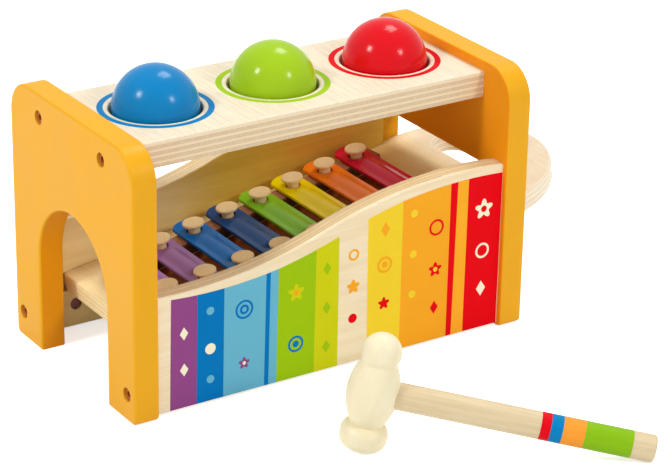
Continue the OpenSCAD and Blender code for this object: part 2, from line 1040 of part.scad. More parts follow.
module mallet_head() {
    in_set()
        color(cream)
            at_mallet()
                difference() {
                    rotate_extrude()
                        mallet_profile();
                    translate([-handle_seat, 0, barrel_mid])
                        rotate([0, 90, 0])
                            cylinder(r = handle_r + snug, h = barrel_d);
                }
}

module mallet_handle() {
    e = handle_end_r;
    in_set()
        color(beech)
            at_mallet()
                translate([-handle_seat, 0, barrel_mid])
                    rotate([0, 90, 0])
                        rotate_extrude()
                            intersection() {
                                union() {
                                    square([handle_r, handle_len + handle_seat - e]);
                                    square([handle_r - e, handle_len + handle_seat]);
                                    translate([handle_r - e, handle_len + handle_seat - e])
                                        circle(r = e);
                                }
                                square([handle_r, handle_len + handle_seat]);
                            }
}

end_panel_left();
end_panel_right();
top_board();
front_wall();
back_wall();
ball_ring_left();
ball_ring_middle();
ball_ring_right();
ball_blue();
ball_green();
ball_red();
tray_board();
key_rail_front();
key_rail_rear();
felt_strip_front();
felt_strip_rear();
key_lilac();
key_purple();
key_azure();
key_blue();
key_green();
key_yellow();
key_orange();
key_red();
key_pegs_front();
key_pegs_rear();
bolts_left();
bolts_right();
barrel_nuts_left();
barrel_nuts_right();
dowels_left();
dowels_right();
mallet_head();
mallet_handle();
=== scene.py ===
"""Dresses a wooden pounding bench with its balls, slide-out xylophone and mallet.

Lengths are in metres, and in millimetres inside the materials. Every place is in the set's own frame: X
along the bench, Y from front to back, Z up. Pieces are surfaces over two parameters, finished with
procedural paint, wood, plywood, rubber, felt and metal.
"""

import json
import math

import bmesh
import bpy
import numpy as np
from bpy.props import FloatProperty, FloatVectorProperty, PointerProperty
from mathutils import Matrix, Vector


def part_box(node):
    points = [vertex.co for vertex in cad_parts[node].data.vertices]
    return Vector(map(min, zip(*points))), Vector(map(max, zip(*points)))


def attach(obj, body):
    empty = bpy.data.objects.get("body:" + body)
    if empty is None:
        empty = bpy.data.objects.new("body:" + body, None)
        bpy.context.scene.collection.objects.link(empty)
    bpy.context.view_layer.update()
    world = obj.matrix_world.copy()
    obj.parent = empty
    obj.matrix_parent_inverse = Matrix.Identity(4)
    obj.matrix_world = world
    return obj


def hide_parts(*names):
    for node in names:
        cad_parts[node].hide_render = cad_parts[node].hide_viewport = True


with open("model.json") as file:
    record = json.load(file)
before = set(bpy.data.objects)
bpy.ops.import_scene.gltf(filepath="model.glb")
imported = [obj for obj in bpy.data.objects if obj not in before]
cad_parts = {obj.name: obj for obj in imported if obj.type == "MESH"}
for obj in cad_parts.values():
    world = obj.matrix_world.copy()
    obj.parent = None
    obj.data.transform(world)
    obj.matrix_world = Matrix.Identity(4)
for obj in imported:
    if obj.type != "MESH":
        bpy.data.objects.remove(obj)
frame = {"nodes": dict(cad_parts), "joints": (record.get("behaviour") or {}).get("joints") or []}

bl_info = {
    "name": "Pounding bench",
    "version": (1, 0, 0),
    "blender": (4, 5, 0),
    "location": "View3D > Sidebar > Pounding bench",
    "description": "Dresses a pounding bench with balls, a xylophone tray and a mallet",
    "category": "Add Mesh",
}

# The bench's low front left corner, and the slope that the tray slides along
CORNER = np.array(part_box("end_panel_left")[0])
SLIDE = next(j["axis"] for j in frame["joints"] if j["name"] == "tray_slide")
SLOPE = math.atan2(SLIDE[2], SLIDE[0])
# The top of the tray's low end, along the bench and above its foot, and the tray's thickness
TRAY_X, TRAY_Z, TRAY_THICK = 0.0209, 0.0339, 0.0109
KEYS = ["lilac", "purple", "azure", "blue", "green", "yellow", "orange", "red"]
BALLS = {"blue": "left", "green": "middle", "red": "right"}
# Lays a piece's own Z along X, and its X straight down
Z_TO_X = np.array([[0, 0, 1], [0, 1, 0], [-1, 0, 0]])
# Points nearer than this are one point, CAD faces that turn by less than this are one face, and an edge that
# turns by more than this many degrees stays sharp
FINE = 1e-6
FLAT = math.radians(0.2)
CREASE = 35


# ---- Surfaces ----


def skin(points, wrap_rows=False, wrap_cols=False, slot=0):
    """One patch of a piece: a grid of points, rows by columns, with what wraps round and its material."""
    return np.asarray(points, float), wrap_rows, wrap_cols, slot


def patch_faces(rows, cols, wrap_rows, wrap_cols):
    """Corner numbers of the quads between neighbours of a grid, worked out for the whole grid at once."""
    index = np.arange(rows * cols).reshape(rows, cols)
    r = np.arange(rows if wrap_rows else rows - 1)[:, None]
    c = np.arange(cols if wrap_cols else cols - 1)[None, :]
    r2, c2 = (r + 1) % rows, (c + 1) % cols
    return np.stack([index[r, c], index[r, c2], index[r2, c2], index[r2, c]], -1).reshape(-1, 4)


def weld(mesh, near, sliver, copy):
    """Merges points nearer than a distance and dissolves slivers. The triangles of a CAD copy, which already
    point outwards, are joined into flat faces. A new surface is turned outwards."""
    bm = bmesh.new()
    bm.from_mesh(mesh)
    bmesh.ops.remove_doubles(bm, verts=bm.verts, dist=near)
    bmesh.ops.dissolve_degenerate(bm, dist=sliver, edges=bm.edges)
    if copy:
        bmesh.ops.dissolve_limit(bm, angle_limit=FLAT, verts=bm.verts, edges=bm.edges)
    else:
        bmesh.ops.recalc_face_normals(bm, faces=bm.faces)
    bm.to_mesh(mesh)
    bm.free()


def finish_piece(name, mesh, body, nodes, crease):
    """Piece shaded smooth up to a crease angle, with its body and the nodes that it stands for."""
    mesh.polygons.foreach_set("use_smooth", np.ones(len(mesh.polygons), bool))
    mesh.set_sharp_from_angle(angle=math.radians(crease))
    mesh.update()
    obj = bpy.data.objects.new(name, mesh)
    bpy.context.scene.collection.objects.link(obj)
    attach(obj, body)
    if nodes:
        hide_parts(*nodes)
    return obj


def build(name, patches, materials, body, nodes=(), crease=CREASE):
    """Piece made of patches, whose points are put into one mesh as whole arrays."""
    points, faces, slots, start = [], [], [], 0
    for grid, wrap_rows, wrap_cols, which in patches:
        rows, cols = grid.shape[:2]
        quads = patch_faces(rows, cols, wrap_rows, wrap_cols) + start
        points.append(grid.reshape(-1, 3))
        faces.append(quads)
        slots.append(np.full(len(quads), which, np.int32))
        start += rows * cols
    mesh = bpy.data.meshes.new(name)
    mesh.from_pydata(np.concatenate(points), [], np.concatenate(faces))
    for material in materials:
        mesh.materials.append(material)
    mesh.polygons.foreach_set("material_index", np.concatenate(slots))
    weld(mesh, FINE, FINE / 10, copy=False)
    finish_piece(name, mesh, body, nodes, crease)


def modify(obj, name, kind, **settings):
    """Modifier with its settings."""
    modifier = obj.modifiers.new(name, kind)
    for key, value in settings.items():
        setattr(modifier, key, value)


def smooth_copy(node, material, body, bevel=0.0):
    """Copy of a CAD solid with its triangles joined into whole flat faces, shaded smooth, and its sharp edges
    broken by a bevel."""
    mesh = frame["nodes"][node].data.copy()
    mesh.name = node + "_skin"
    mesh.materials.clear()
    mesh.materials.append(material)
    mesh.polygons.foreach_set("material_index", np.zeros(len(mesh.polygons), np.int32))
    for attribute in [a.name for a in mesh.attributes if a.name in ("custom_normal", "sharp_edge")]:
        mesh.attributes.remove(mesh.attributes[attribute])
    weld(mesh, 20 * FINE, 20 * FINE, copy=True)
    obj = finish_piece(node + "_skin", mesh, body, [node], CREASE)
    if bevel:
        modify(obj, "Broken edges", "BEVEL", width=bevel, segments=2, limit_method="ANGLE",
               angle_limit=math.radians(CREASE), harden_normals=True)
    modify(obj, "Even shading", "WEIGHTED_NORMAL", keep_sharp=True, weight=80)


def turned(profile, turns=72):
    """Revolved points: each (radius, height) of a profile is carried round the Z axis."""
    profile = np.asarray(profile, float)
    angle = np.linspace(0, 2 * np.pi, turns, endpoint=False)
    radius, height = profile[:, :1], profile[:, 1:]
    return np.stack([radius * np.cos(angle), radius * np.sin(angle), height + 0 * angle], -1)


def placed(points, turn, origin):
    """Points moved from a piece's own axes, the columns of turn, to the set."""
    return np.asarray(points) @ np.asarray(turn).T + np.asarray(origin)


def tile(front, offset, wrap_cols=False, slot=0):
    """Thin closed tile: a front grid, the same grid moved back by an offset, and the border between them."""
    front, offset = np.asarray(front, float), np.asarray(offset, float)
    border = np.concatenate([front[0], front[1:, -1], front[-1, -2::-1], front[-2:0:-1, 0]])
    rims = [front[0], front[-1]] if wrap_cols else [border]
    patches = [skin(grid, False, wrap_cols, slot) for grid in (front, front + offset)]
    return patches + [skin([rim, rim + offset], False, True, slot) for rim in rims]


# ---- Nodes ----


def linear(colour, share=1.0):
    """Screen colour as linear light: under 0.04045 a division by 12.92, and a power of 2.4 above it. The
    share makes it lighter or darker."""
    c = np.asarray(colour, float)[:3]
    light = np.where(c <= 0.04045, c / 12.92, ((c + 0.055) / 1.055) ** 2.4)
    return (*np.minimum(light * share, 1.0).tolist(), 1.0)


def add(tree, kind, inputs=None, **settings):
    """New node. An input's value is either a number or another node's output."""
    new = tree.nodes.new(kind)
    for key, value in settings.items():
        setattr(new, key, value)
    for key, value in (inputs or {}).items():
        if isinstance(value, bpy.types.NodeSocket):
            tree.links.new(value, new.inputs[key])
        else:
            new.inputs[key].default_value = value
    return new


def maths(tree, operation, a, b=0.0):
    """One sum on one or two values."""
    return add(tree, "ShaderNodeMath", {0: a, 1: b}, operation=operation).outputs[0]


def sums(tree, operation, a, b):
    """One sum on two vectors, or on a vector and a value that counts for all three of its parts."""
    return add(tree, "ShaderNodeVectorMath", {0: a, 1: b}, operation=operation).outputs[0]


def vector(tree, x, y, z):
    """Vector of three values."""
    return add(tree, "ShaderNodeCombineXYZ", {0: x, 1: y, 2: z}).outputs[0]


def ramp(tree, value, low, high, to_low=0.0, to_high=1.0):
    """Value brought smoothly from one range to another, and held inside it."""
    inputs = {"Value": value, "From Min": low, "From Max": high, "To Min": to_low, "To Max": to_high}
    return add(tree, "ShaderNodeMapRange", inputs, interpolation_type="SMOOTHSTEP").outputs["Result"]


def mixed(tree, factor, a, b, blend="MIX"):
    """Colour between a and b."""
    settings = {"data_type": "RGBA", "blend_type": blend, "clamp_factor": True}
    return add(tree, "ShaderNodeMix", {0: factor, 6: a, 7: b}, **settings).outputs[2]


def stained(tree, tone, mask, share, colour):
    """Colour with a share of another one as far as a mask goes."""
    return mixed(tree, maths(tree, "MULTIPLY", mask, share), tone, colour)


def noise(tree, where, detail, roughness=0.55):
    """Noise over a vector that is already in the pattern's own units."""
    inputs = {"Vector": where, "Scale": 1.0, "Detail": detail, "Roughness": roughness}
    return add(tree, "ShaderNodeTexNoise", inputs).outputs[0]


def new_group(name, inputs, outputs):
    """Shader node group with named sockets: its inputs by their values, with None for a vector, and outputs
    of one value each."""
    tree = bpy.data.node_groups.new(name, "ShaderNodeTree")
    for label, value in inputs.items():
        kind = "NodeSocketVector" if value is None else "NodeSocketFloat"
        socket = tree.interface.new_socket(label, in_out="INPUT", socket_type=kind)
        if value is not None:
            socket.default_value = value
    for label in outputs:
        tree.interface.new_socket(label, in_out="OUTPUT", socket_type="NodeSocketFloat")
    return tree, add(tree, "NodeGroupInput").outputs


def use(tree, name, inputs):
    """Outputs of a shared group that is placed in a material."""
    return add(tree, "ShaderNodeGroup", inputs, node_tree=bpy.data.node_groups[name]).outputs


def fibre_group():
    """Wood fibre along X, in millimetres: noise drawn out along the grain at three widths. Tone is the broad
    figure with its fine streaks, Pores the short dark strokes, Height the relief of both."""
    tree, given = new_group(
        "Wood fibre", {"Vector": None, "Length": 60.0, "Width": 3.0}, ["Tone", "Pores", "Height"]
    )
    long, wide = (maths(tree, "DIVIDE", 1.0, given[label]) for label in ("Length", "Width"))
    grain = sums(tree, "MULTIPLY", given["Vector"], vector(tree, long, wide, wide))
    bend = noise(tree, sums(tree, "MULTIPLY", grain, (0.5, 0.15, 0.15)), 1.0)
    wave = maths(tree, "MULTIPLY", bend, 5.0)
    bent = sums(tree, "ADD", grain, vector(tree, 0.0, wave, wave))
    broad = noise(tree, bent, 2.0)
    fine = noise(tree, sums(tree, "MULTIPLY", bent, (3.0, 7.0, 7.0)), 3.0, 0.6)
    strokes = noise(tree, sums(tree, "MULTIPLY", bent, (9.0, 14.0, 14.0)), 1.0, 0.5)
    pores = ramp(tree, strokes, 0.62, 0.74)
    tone = maths(tree, "ADD", maths(tree, "MULTIPLY", broad, 0.6), maths(tree, "MULTIPLY", fine, 0.4))
    height = maths(tree, "SUBTRACT", fine, maths(tree, "MULTIPLY", pores, 0.8))
    add(tree, "NodeGroupOutput", {"Tone": ramp(tree, tone, 0.3, 0.7), "Pores": pores, "Height": height})


def ply_group():
    """Plywood layers over a height in millimetres: the height over the layer's thickness, half a layer out so
    that the faces lie inside a veneer. Cross is 1 in every other layer, Glue 1 on the line between two."""
    tree, given = new_group(
        "Ply layers", {"Height": 0.0, "Layer": 1.5, "Glue width": 0.12}, ["Cross", "Glue", "Layer number"]
    )
    count = maths(tree, "ADD", maths(tree, "DIVIDE", given["Height"], given["Layer"]), 0.5)
    number = maths(tree, "FLOOR", count)
    part = maths(tree, "SUBTRACT", count, number)
    near = maths(tree, "MINIMUM", part, maths(tree, "SUBTRACT", 1.0, part))
    glue = ramp(tree, near, 0.0, given["Glue width"], 1.0, 0.0)
    cross = maths(tree, "MODULO", number, 2.0)
    add(tree, "NodeGroupOutput", {"Cross": cross, "Glue": glue, "Layer number": number})


def film_group():
    """Paint or lacquer film in millimetres: broad clouds of tone, fine specks, and the relief of the film."""
    tree, given = new_group(
        "Paint film", {"Vector": None, "Cloud size": 30.0, "Peel size": 1.2}, ["Cloud", "Specks", "Height"]
    )
    cloud, peel = (
        sums(tree, "MULTIPLY", given["Vector"], maths(tree, "DIVIDE", 1.0, given[label]))
        for label in ("Cloud size", "Peel size")
    )
    clouds = ramp(tree, noise(tree, cloud, 3.0), 0.3, 0.7)
    specks = ramp(tree, noise(tree, peel, 2.0), 0.62, 0.8)
    add(tree, "NodeGroupOutput", {"Cloud": clouds, "Specks": specks, "Height": noise(tree, peel, 1.0)})


# ---- Finishes ----


def new_material(name, **constants):
    """Material with one Principled shader. Values that are the same all over stand on its own sockets."""
    material = bpy.data.materials.new(name)
    material.use_nodes = True
    tree = material.node_tree
    tree.nodes.clear()
    shader = add(tree, "ShaderNodeBsdfPrincipled")
    for label, value in constants.items():
        shader.inputs[label.replace("_", " ")].default_value = value
    add(tree, "ShaderNodeOutputMaterial", {0: shader.outputs[0]})
    return material, tree


def coat(material, tone, mask, rough, height, depth):
    """Gives a material's shader its colour, a roughness that a mask moves between two values, and the relief
    of a height over a depth in metres."""
    tree = material.node_tree
    inputs = tree.nodes["Principled BSDF"].inputs
    relief = add(tree, "ShaderNodeBump", {"Height": height, "Distance": depth, "Strength": 1.0})
    tree.links.new(tone, inputs["Base Color"])
    tree.links.new(ramp(tree, mask, 0.0, 1.0, *rough), inputs["Roughness"])
    tree.links.new(relief.outputs[0], inputs["Normal"])
    return material


def millimetres(tree, origin=(0, 0, 0), turn=(0, 0, 0)):
    """Object coordinates in millimetres on a piece's own axes: an origin in the set and a turn in radians."""
    where = add(tree, "ShaderNodeTexCoord").outputs["Object"]
    inputs = {"Vector": where, "Location": tuple(origin), "Rotation": tuple(turn), "Scale": (0.001,) * 3}
    return add(tree, "ShaderNodeMapping", inputs, vector_type="TEXTURE").outputs[0]


def tinted_and_shaded(tree, tone, where, tints_and_shades):
    """Colour multiplied by each tint within its box, which is given in millimetres by its middle, its half
    size and the margin that it fades out over, along each axis. Most tints are painted shade inside the
    bench; some are the darker tone of inner veneers."""
    split = add(tree, "ShaderNodeSeparateXYZ", {0: where}).outputs
    for box, tint in tints_and_shades:
        share = 1.0
        for place, (middle, half, margin) in zip(split, box):
            off = maths(tree, "ABSOLUTE", maths(tree, "SUBTRACT", place, middle))
            share = maths(tree, "MULTIPLY", share, ramp(tree, off, half + margin, half))
        tone = mixed(tree, share, tone, linear(tint), blend="MULTIPLY")
    return tone


# An axis along which a tint has no end
ENDLESS = (0.0, 1000.0, 1.0)


def painted(name, colour, rough, gloss, drift=0.03, peel=1.2, depth=2e-5, grain=0.0, origin=(0, 0, 0),
            tints_and_shades=()):
    """Opaque paint: tone drifts in clouds and specks, and with grain the wood's fibre shows through."""
    material, tree = new_material(name, Specular_IOR_Level=gloss)
    where = millimetres(tree, origin)
    film = use(tree, "Paint film", {"Vector": where, "Peel size": peel})
    tone = mixed(tree, film["Cloud"], linear(colour, 1 - drift), linear(colour, 1 + drift / 2))
    tone = stained(tree, tone, film["Specks"], 0.15, linear(colour, 0.85))
    height = film["Height"]
    if grain:
        fibre = use(tree, "Wood fibre", {"Vector": where, "Length": 45.0, "Width": 2.2})
        tone = stained(tree, tone, fibre["Tone"], grain, linear(colour, 0.72))
        tone = stained(tree, tone, fibre["Pores"], grain, linear(colour, 0.55))
        height = maths(tree, "ADD", height, fibre["Height"])
    # tints where given: on the end panels, painted shade inside the bench
    tone = tinted_and_shaded(tree, tone, where, tints_and_shades)
    return coat(material, tone, film["Cloud"], (rough * 0.88, rough * 1.15), height, depth)


def wooden(name, light, dark, origin, turn, length=60.0, width=1.8, pores=0.35, rough=0.5, depth=4e-5):
    """Solid wood with the grain along its own X: light and dark wood mixed by the fibre, with pores."""
    material, tree = new_material(name, Specular_IOR_Level=0.3)
    where = millimetres(tree, origin, turn)
    fibre = use(tree, "Wood fibre", {"Vector": where, "Length": length, "Width": width})
    film = use(tree, "Paint film", {"Vector": where, "Cloud size": 18.0})
    tone = mixed(tree, fibre["Tone"], linear(light), linear(dark))
    tone = stained(tree, tone, film["Cloud"], 0.18, linear(dark, 0.95))
    tone = stained(tree, tone, fibre["Pores"], pores, linear(dark, 0.6))
    return coat(material, tone, fibre["Tone"], (rough * 0.9, rough * 1.12), fibre["Height"], depth)


def plywood(name, woods, origin, turn, layer, glue_share, glue_width, cross, tints_and_shades):
    """Plywood on its own axes, grain along X and layers along Z: veneers run in turn along and across, with a
    glue line between them. The woods are its light wood, its dark wood and its glue."""
    light, dark, glue = woods
    material, tree = new_material(name, Specular_IOR_Level=0.2)
    where = millimetres(tree, origin, turn)
    x, y, z = add(tree, "ShaderNodeSeparateXYZ", {0: where}).outputs
    ply = use(tree, "Ply layers", {"Height": z, "Layer": layer, "Glue width": glue_width})
    shift = maths(tree, "MULTIPLY", ply["Layer number"], 37.0)
    along = vector(tree, maths(tree, "ADD", x, shift), y, z)
    over = vector(tree, maths(tree, "ADD", y, shift), x, z)
    face = use(tree, "Wood fibre", {"Vector": along, "Length": 80.0, "Width": 4.2})
    end = use(tree, "Wood fibre", {"Vector": over, "Length": 24.0, "Width": 1.1})
    film = use(tree, "Paint film", {"Vector": where, "Cloud size": 45.0})
    tone = mixed(tree, face["Tone"], linear(light), linear(dark))
    tone = stained(tree, tone, film["Cloud"], 0.15, linear(dark, 0.97))
    tone = stained(tree, tone, face["Pores"], 0.12, linear(dark, 0.75))
    across = mixed(tree, end["Tone"], linear(dark, 0.92), linear(dark, 0.68))
    tone = stained(tree, tone, ply["Cross"], cross, across)
    tone = stained(tree, tone, ply["Glue"], glue_share, linear(glue))
    # tints where given: painted shade and painted warm shade inside the bench, and the darker tone of inner
    # veneers on the edges
    tone = tinted_and_shaded(tree, tone, where, tints_and_shades)
    return coat(material, tone, face["Tone"], (0.46, 0.56), face["Height"], 2e-5)


def rubbery(name, colour):
    """Dull black rubber with a fine dusty bloom."""
    material, tree = new_material(name, Specular_IOR_Level=0.35)
    film = use(tree, "Paint film", {"Vector": millimetres(tree), "Cloud size": 5.0, "Peel size": 0.5})
    tone = mixed(tree, film["Cloud"], linear(colour), linear(colour, 1.6))
    return coat(material, tone, film["Specks"], (0.62, 0.78), film["Height"], 3e-5)


def felted(name, colour):
    """Pressed felt: fine tufts light up against a darker ground, with no gloss."""
    material, tree = new_material(name, Sheen_Weight=0.04, Sheen_Roughness=0.6)
    film = use(tree, "Paint film", {"Vector": millimetres(tree), "Cloud size": 1.6, "Peel size": 0.35})
    tone = mixed(tree, film["Cloud"], linear(colour, 0.75), linear(colour, 1.25))
    return coat(material, tone, film["Cloud"], (0.85, 1.0), film["Height"], 1.5e-4)


def metallic(name, colour, rough, share):
    """Plated steel with a fine speckled relief and a little tarnish: the lower its share, the duller the
    metal.
    """
    material, tree = new_material(name, Metallic=share)
    film = use(tree, "Paint film", {"Vector": millimetres(tree), "Cloud size": 2.2, "Peel size": 0.3})
    tone = mixed(tree, film["Cloud"], linear(colour), linear(colour, 0.7))
    return coat(material, tone, film["Cloud"], (rough * 0.8, rough * 1.3), film["Height"], 2e-5)


# ---- Sizes and colours ----


def metres(name, description, default):
    """Length in metres."""
    settings = {"name": name, "description": description, "default": default}
    return FloatProperty(**settings, min=0.0, unit="LENGTH", precision=5)


def degrees(name, description, default):
    """Angle, with its default in degrees."""
    settings = {"name": name, "description": description, "default": math.radians(default)}
    return FloatProperty(**settings, subtype="ANGLE")


def hue(name, description, colour):
    """Colour given by its screen value, in 255ths."""
    settings = {"name": name, "description": description, "default": [c / 255 for c in colour]}
    return FloatVectorProperty(**settings, min=0.0, max=1.0, size=3, subtype="COLOR_GAMMA")


class BenchFinish(bpy.types.PropertyGroup):
    """Colours of the bench, with the painted shade inside it"""

    panel: hue("Panel paint", "Paint of the end panels", (234, 170, 30))
    # painted shade: the end panels' inner faces darker and redder, as in the shade between them
    panel_inner_shade: hue("Panel, inside", "Painted shade on the end panels' inner faces", (255, 220, 190))
    # painted shade in the left panel's arch
    panel_arch_shade: hue("Panel, arch", "Painted shade in the arch of the left panel", (255, 228, 160))
    birch_light: hue("Light birch", "Light wood of the top board and the tray", (255, 245, 224))
    birch_dark: hue("Dark birch", "Dark figure of the top board and the tray", (250, 235, 207))
    wall_light: hue("Light wall", "Light wood of the walls", (248, 235, 205))
    wall_dark: hue("Dark wall", "Dark figure of the walls", (239, 218, 178))
    # painted warm shade on the walls' inner faces, and on the tray inside the bench
    birch_inner_shade: hue("Birch, inside", "Painted warm shade on the wood between the end panels", (255, 247, 212))
    birch_edge: hue("Board, edge", "Dye of the inner veneers on the top board's edges", (242, 233, 220))
    wall_edge: hue("Wall, edge", "Dye of the inner veneers on the walls' edges", (243, 232, 214))
    # painted golden shade on the back wall's inner face, towards its high end
    back_wall_shade: hue("Wall, inside", "Painted golden shade on the back wall's high end", (255, 238, 150))
    # painted warm shade on the tray beside the last key
    tray_end_shade: hue("Tray, inside", "Painted warm shade on the tray beside the last key", (252, 238, 208))
    glue: hue("Glue line", "Glue between two veneers", (104, 66, 36))
    # the rails' own wood, darkened to the shade seen between the keys: partly painted shade
    rail: hue("Rail wood", "Wood of the rails and dowels", (126, 88, 58))
    rubber: hue("Rubber", "Rings under the balls", (40, 38, 40))
    # the felt's own brown, darkened towards the shade seen between the keys: partly painted shade
    felt: hue("Felt", "Felt under the keys", (156, 98, 56))
    # painted shade: the trough's floor darker, as in the deep shade between the keys
    trough: hue("Sound trough", "Painted shade in the trough under the keys", (176, 104, 60))
    bolt: hue("Bolt", "Plating of the bolts", (176, 92, 34))
    nut: hue("Barrel nut", "Plating of the barrel nuts", (104, 52, 50))


class BallFinish(bpy.types.PropertyGroup):
    """Colours of the balls, and the rings printed round their holes"""

    blue: hue("Blue ball", "Lacquer of the left ball", (0, 126, 189))
    green: hue("Green ball", "Lacquer of the middle ball", (158, 197, 25))
    red: hue("Red ball", "Lacquer of the right ball", (220, 4, 22))
    ring_in: metres("Printed ring, inside", "Inner radius of a printed ring", 0.0266)
    ring_out: metres("Printed ring, outside", "Outer radius of a printed ring", 0.0298)
    ink: metres("Ink", "Thickness of printed ink", 0.00005)


class KeySizes(bpy.types.PropertyGroup):
    """Sizes and colours of the keys"""

    pitch: metres("Pitch", "Distance between keys along the tray", 0.0219)
    start: metres("First key", "Middle of the first key from the tray's low end", 0.024)
    width: metres("Width", "Width of a key", 0.0164)
    metal: metres("Metal", "Thickness of a key", 0.002)
    seat: metres("Seat", "Height of a key's underside over the tray", 0.0074)
    trim: metres("Trim", "How much shorter each end is than its neighbour's", 0.00175)
    longest: metres("Longest half", "Half the length of the longest key", 0.0486)
    tip: metres("Tip rise", "Set-back of a key's corners from its tip", 0.005)
    ridge: metres("Ridge", "Height of the pressed ridge", 0.002)
    ridge_half: metres("Ridge half width", "Half the width of the ridge at its foot", 0.0052)
    ridge_stop: metres("Ridge stop", "Distance from a peg to the ridge's last full height", 0.0109)
    edge: metres("Edge", "Round-over of a key's edges", 0.0005)
    hole: metres("Hole", "Radius of the hole round a peg", 0.0041)
    inset: metres("Peg inset", "Distance from a peg to a key's tip", 0.0145)
    lilac: hue("Lilac key", "Paint of key 1", (184, 122, 194))
    purple: hue("Purple key", "Paint of key 2", (166, 113, 177))
    azure: hue("Azure key", "Paint of key 3", (0, 118, 208))
    blue: hue("Blue key", "Paint of key 4", (29, 79, 144))
    green: hue("Green key", "Paint of key 5", (141, 208, 42))
    yellow: hue("Yellow key", "Paint of key 6", (255, 230, 3))
    orange: hue("Orange key", "Paint of key 7", (255, 133, 26))
    red: hue("Red key", "Paint of key 8", (215, 19, 55))


class PegSizes(bpy.types.PropertyGroup):
    """Sizes and colours of the pegs"""

    stem: metres("Stem", "Radius of the stem", 0.0032)
    root: metres("Root", "Depth of the stem under the tray's top", 0.005)
    neck: metres("Neck", "Radius at the top of the cone", 0.0046)
    cone_low: metres("Cone", "Height where the cone starts", 0.011)
    head_low: metres("Head", "Height of the head's underside", 0.0126)
    head: metres("Head radius", "Radius of the head", 0.006)
    rim: metres("Rim", "Radius of the head's round rim", 0.0011)
    dome: metres("Dome", "Rise of the head's top", 0.0004)
    wood: hue("Peg wood", "Light wood of the pegs", (250, 222, 170))
    figure: hue("Peg figure", "Dark figure of the pegs", (240, 208, 152))


class PrintSizes(bpy.types.PropertyGroup):
    """Sizes and colours of the print on the front wall"""

    low: metres("Wave's low end", "Height of the wave's lowest point", 0.0654)
    high: metres("Wave's high end", "Height of the wave's highest point", 0.0954)
    start: metres("Wave start", "Place of the wave's lowest point", 0.0266)
    run: metres("Wave run", "Length of the wave from lowest to highest point", 0.172)
    ink: metres("Ink", "Thickness of the ink", 0.00005)
    purple: hue("Purple", "First stripe", (147, 74, 137))
    blue: hue("Blue", "Second stripe, and the thin one on the third", (0, 120, 192))
    sky: hue("Light blue", "Third stripe", (106, 184, 212))
    green: hue("Green", "Fourth stripe", (160, 200, 14))
    lime: hue("Lime", "Fifth stripe", (209, 211, 20))
    yellow: hue("Yellow", "Stripe past the bare wood", (246, 213, 50))
    orange: hue("Orange", "Stripe past the yellow one", (249, 172, 38))
    red: hue("Red", "Thin stripe past the orange one, and the last stripe", (232, 2, 18))
    amber: hue("Amber", "Thin stripe between the two red ones", (252, 176, 43))
    cream: hue("Cream", "Ink of the pale motifs", (250, 242, 214))


class MalletSizes(bpy.types.PropertyGroup):
    """Sizes and colours of the mallet"""

    x: metres("Along", "Place of the foot along the bench", 0.0846)
    front: metres("In front", "Distance of the foot in front of the bench", 0.075)
    lift: metres("Lift", "Height of the tilted foot's middle", 0.0013142)
    turn: degrees("Turn", "Turn of the handle", 36.6)
    tilt: degrees("Tilt", "Tilt of the head", 10.1677)
    foot: metres("Foot", "Radius of the foot", 0.012)
    foot_h: metres("Foot height", "Height of the foot", 0.013)
    foot_r: metres("Foot round-over", "Round-over of the foot", 0.005)
    barrel: metres("Barrel", "Radius of the barrel", 0.0131)
    barrel_h: metres("Barrel height", "Height of the barrel", 0.035)
    neck: metres("Neck", "Radius of the necks", 0.008)
    ball: metres("Ball", "Radius of the ball", 0.0099)
    rise: metres("Ball rise", "Height of the ball's middle over the upper neck", 0.004)
    handle: metres("Handle", "Radius of the handle", 0.0069)
    reach: metres("Reach", "Length of the handle from the barrel's axis", 0.1404)
    seat: metres("Seat", "Depth of the handle past the barrel's axis", 0.005)
    end: metres("End", "Round-over at the handle's end", 0.0015)
    red: metres("Red band", "Start of the red band from the barrel's axis", 0.0829)
    blue: metres("Blue band", "Start of the blue band", 0.0878)
    orange: metres("Orange band", "Start of the orange band", 0.0938)
    green: metres("Green band", "Start of the green band", 0.1048)
    bare: metres("Bare end", "End of the green band", 0.1285)
    head_light: hue("Head, light", "Light wood of the head", (241, 232, 201))
    head_dark: hue("Head, dark", "Dark figure of the head", (236, 225, 188))
    stick_light: hue("Handle, light", "Light wood of the handle", (224, 207, 171))
    stick_dark: hue("Handle, dark", "Dark figure of the handle", (211, 189, 149))
    band_orange: hue("Orange paint", "Paint of the orange band", (242, 156, 54))
    band_green: hue("Green paint", "Paint of the green band", (135, 186, 23))


GROUPS = {
    "bench_finish": BenchFinish,
    "ball_finish": BallFinish,
    "key_sizes": KeySizes,
    "peg_sizes": PegSizes,
    "print_sizes": PrintSizes,
    "mallet_sizes": MalletSizes,
}


# ---- Places ----


def tray_axes():
    """The tray's own axes, as columns, and its zero: the top of its low end on the middle line."""
    low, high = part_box("tray_board")
    c, s = math.cos(SLOPE), math.sin(SLOPE)
    zero = CORNER + np.array([TRAY_X, (high.y + low.y) / 2 - CORNER[1], TRAY_Z])
    return np.array([[c, 0, -s], [0, 1, 0], [s, 0, c]]), zero


def mallet_axes(s):
    """The mallet's own axes: tilted about Y, then turned about Z, from the middle of its foot."""
    (c, d), (e, f) = ((math.cos(a), math.sin(a)) for a in (s.tilt, s.turn))
    about_y = np.array([[c, 0, d], [0, 1, 0], [-d, 0, c]])
    about_z = np.array([[e, f, 0], [-f, e, 0], [0, 0, 1]])
    return about_z @ about_y, CORNER + np.array([s.x, -s.front, s.lift])


def turn_of(axes):
    """Euler turn of axes given as columns."""
    return tuple(Matrix(axes.tolist()).to_euler())


def half_length(s, k):
    """Half the length of key k: the last one is the longest, and each before it loses its trim."""
    return s.longest - (len(KEYS) - 1 - k) * s.trim


# ---- Shapes ----


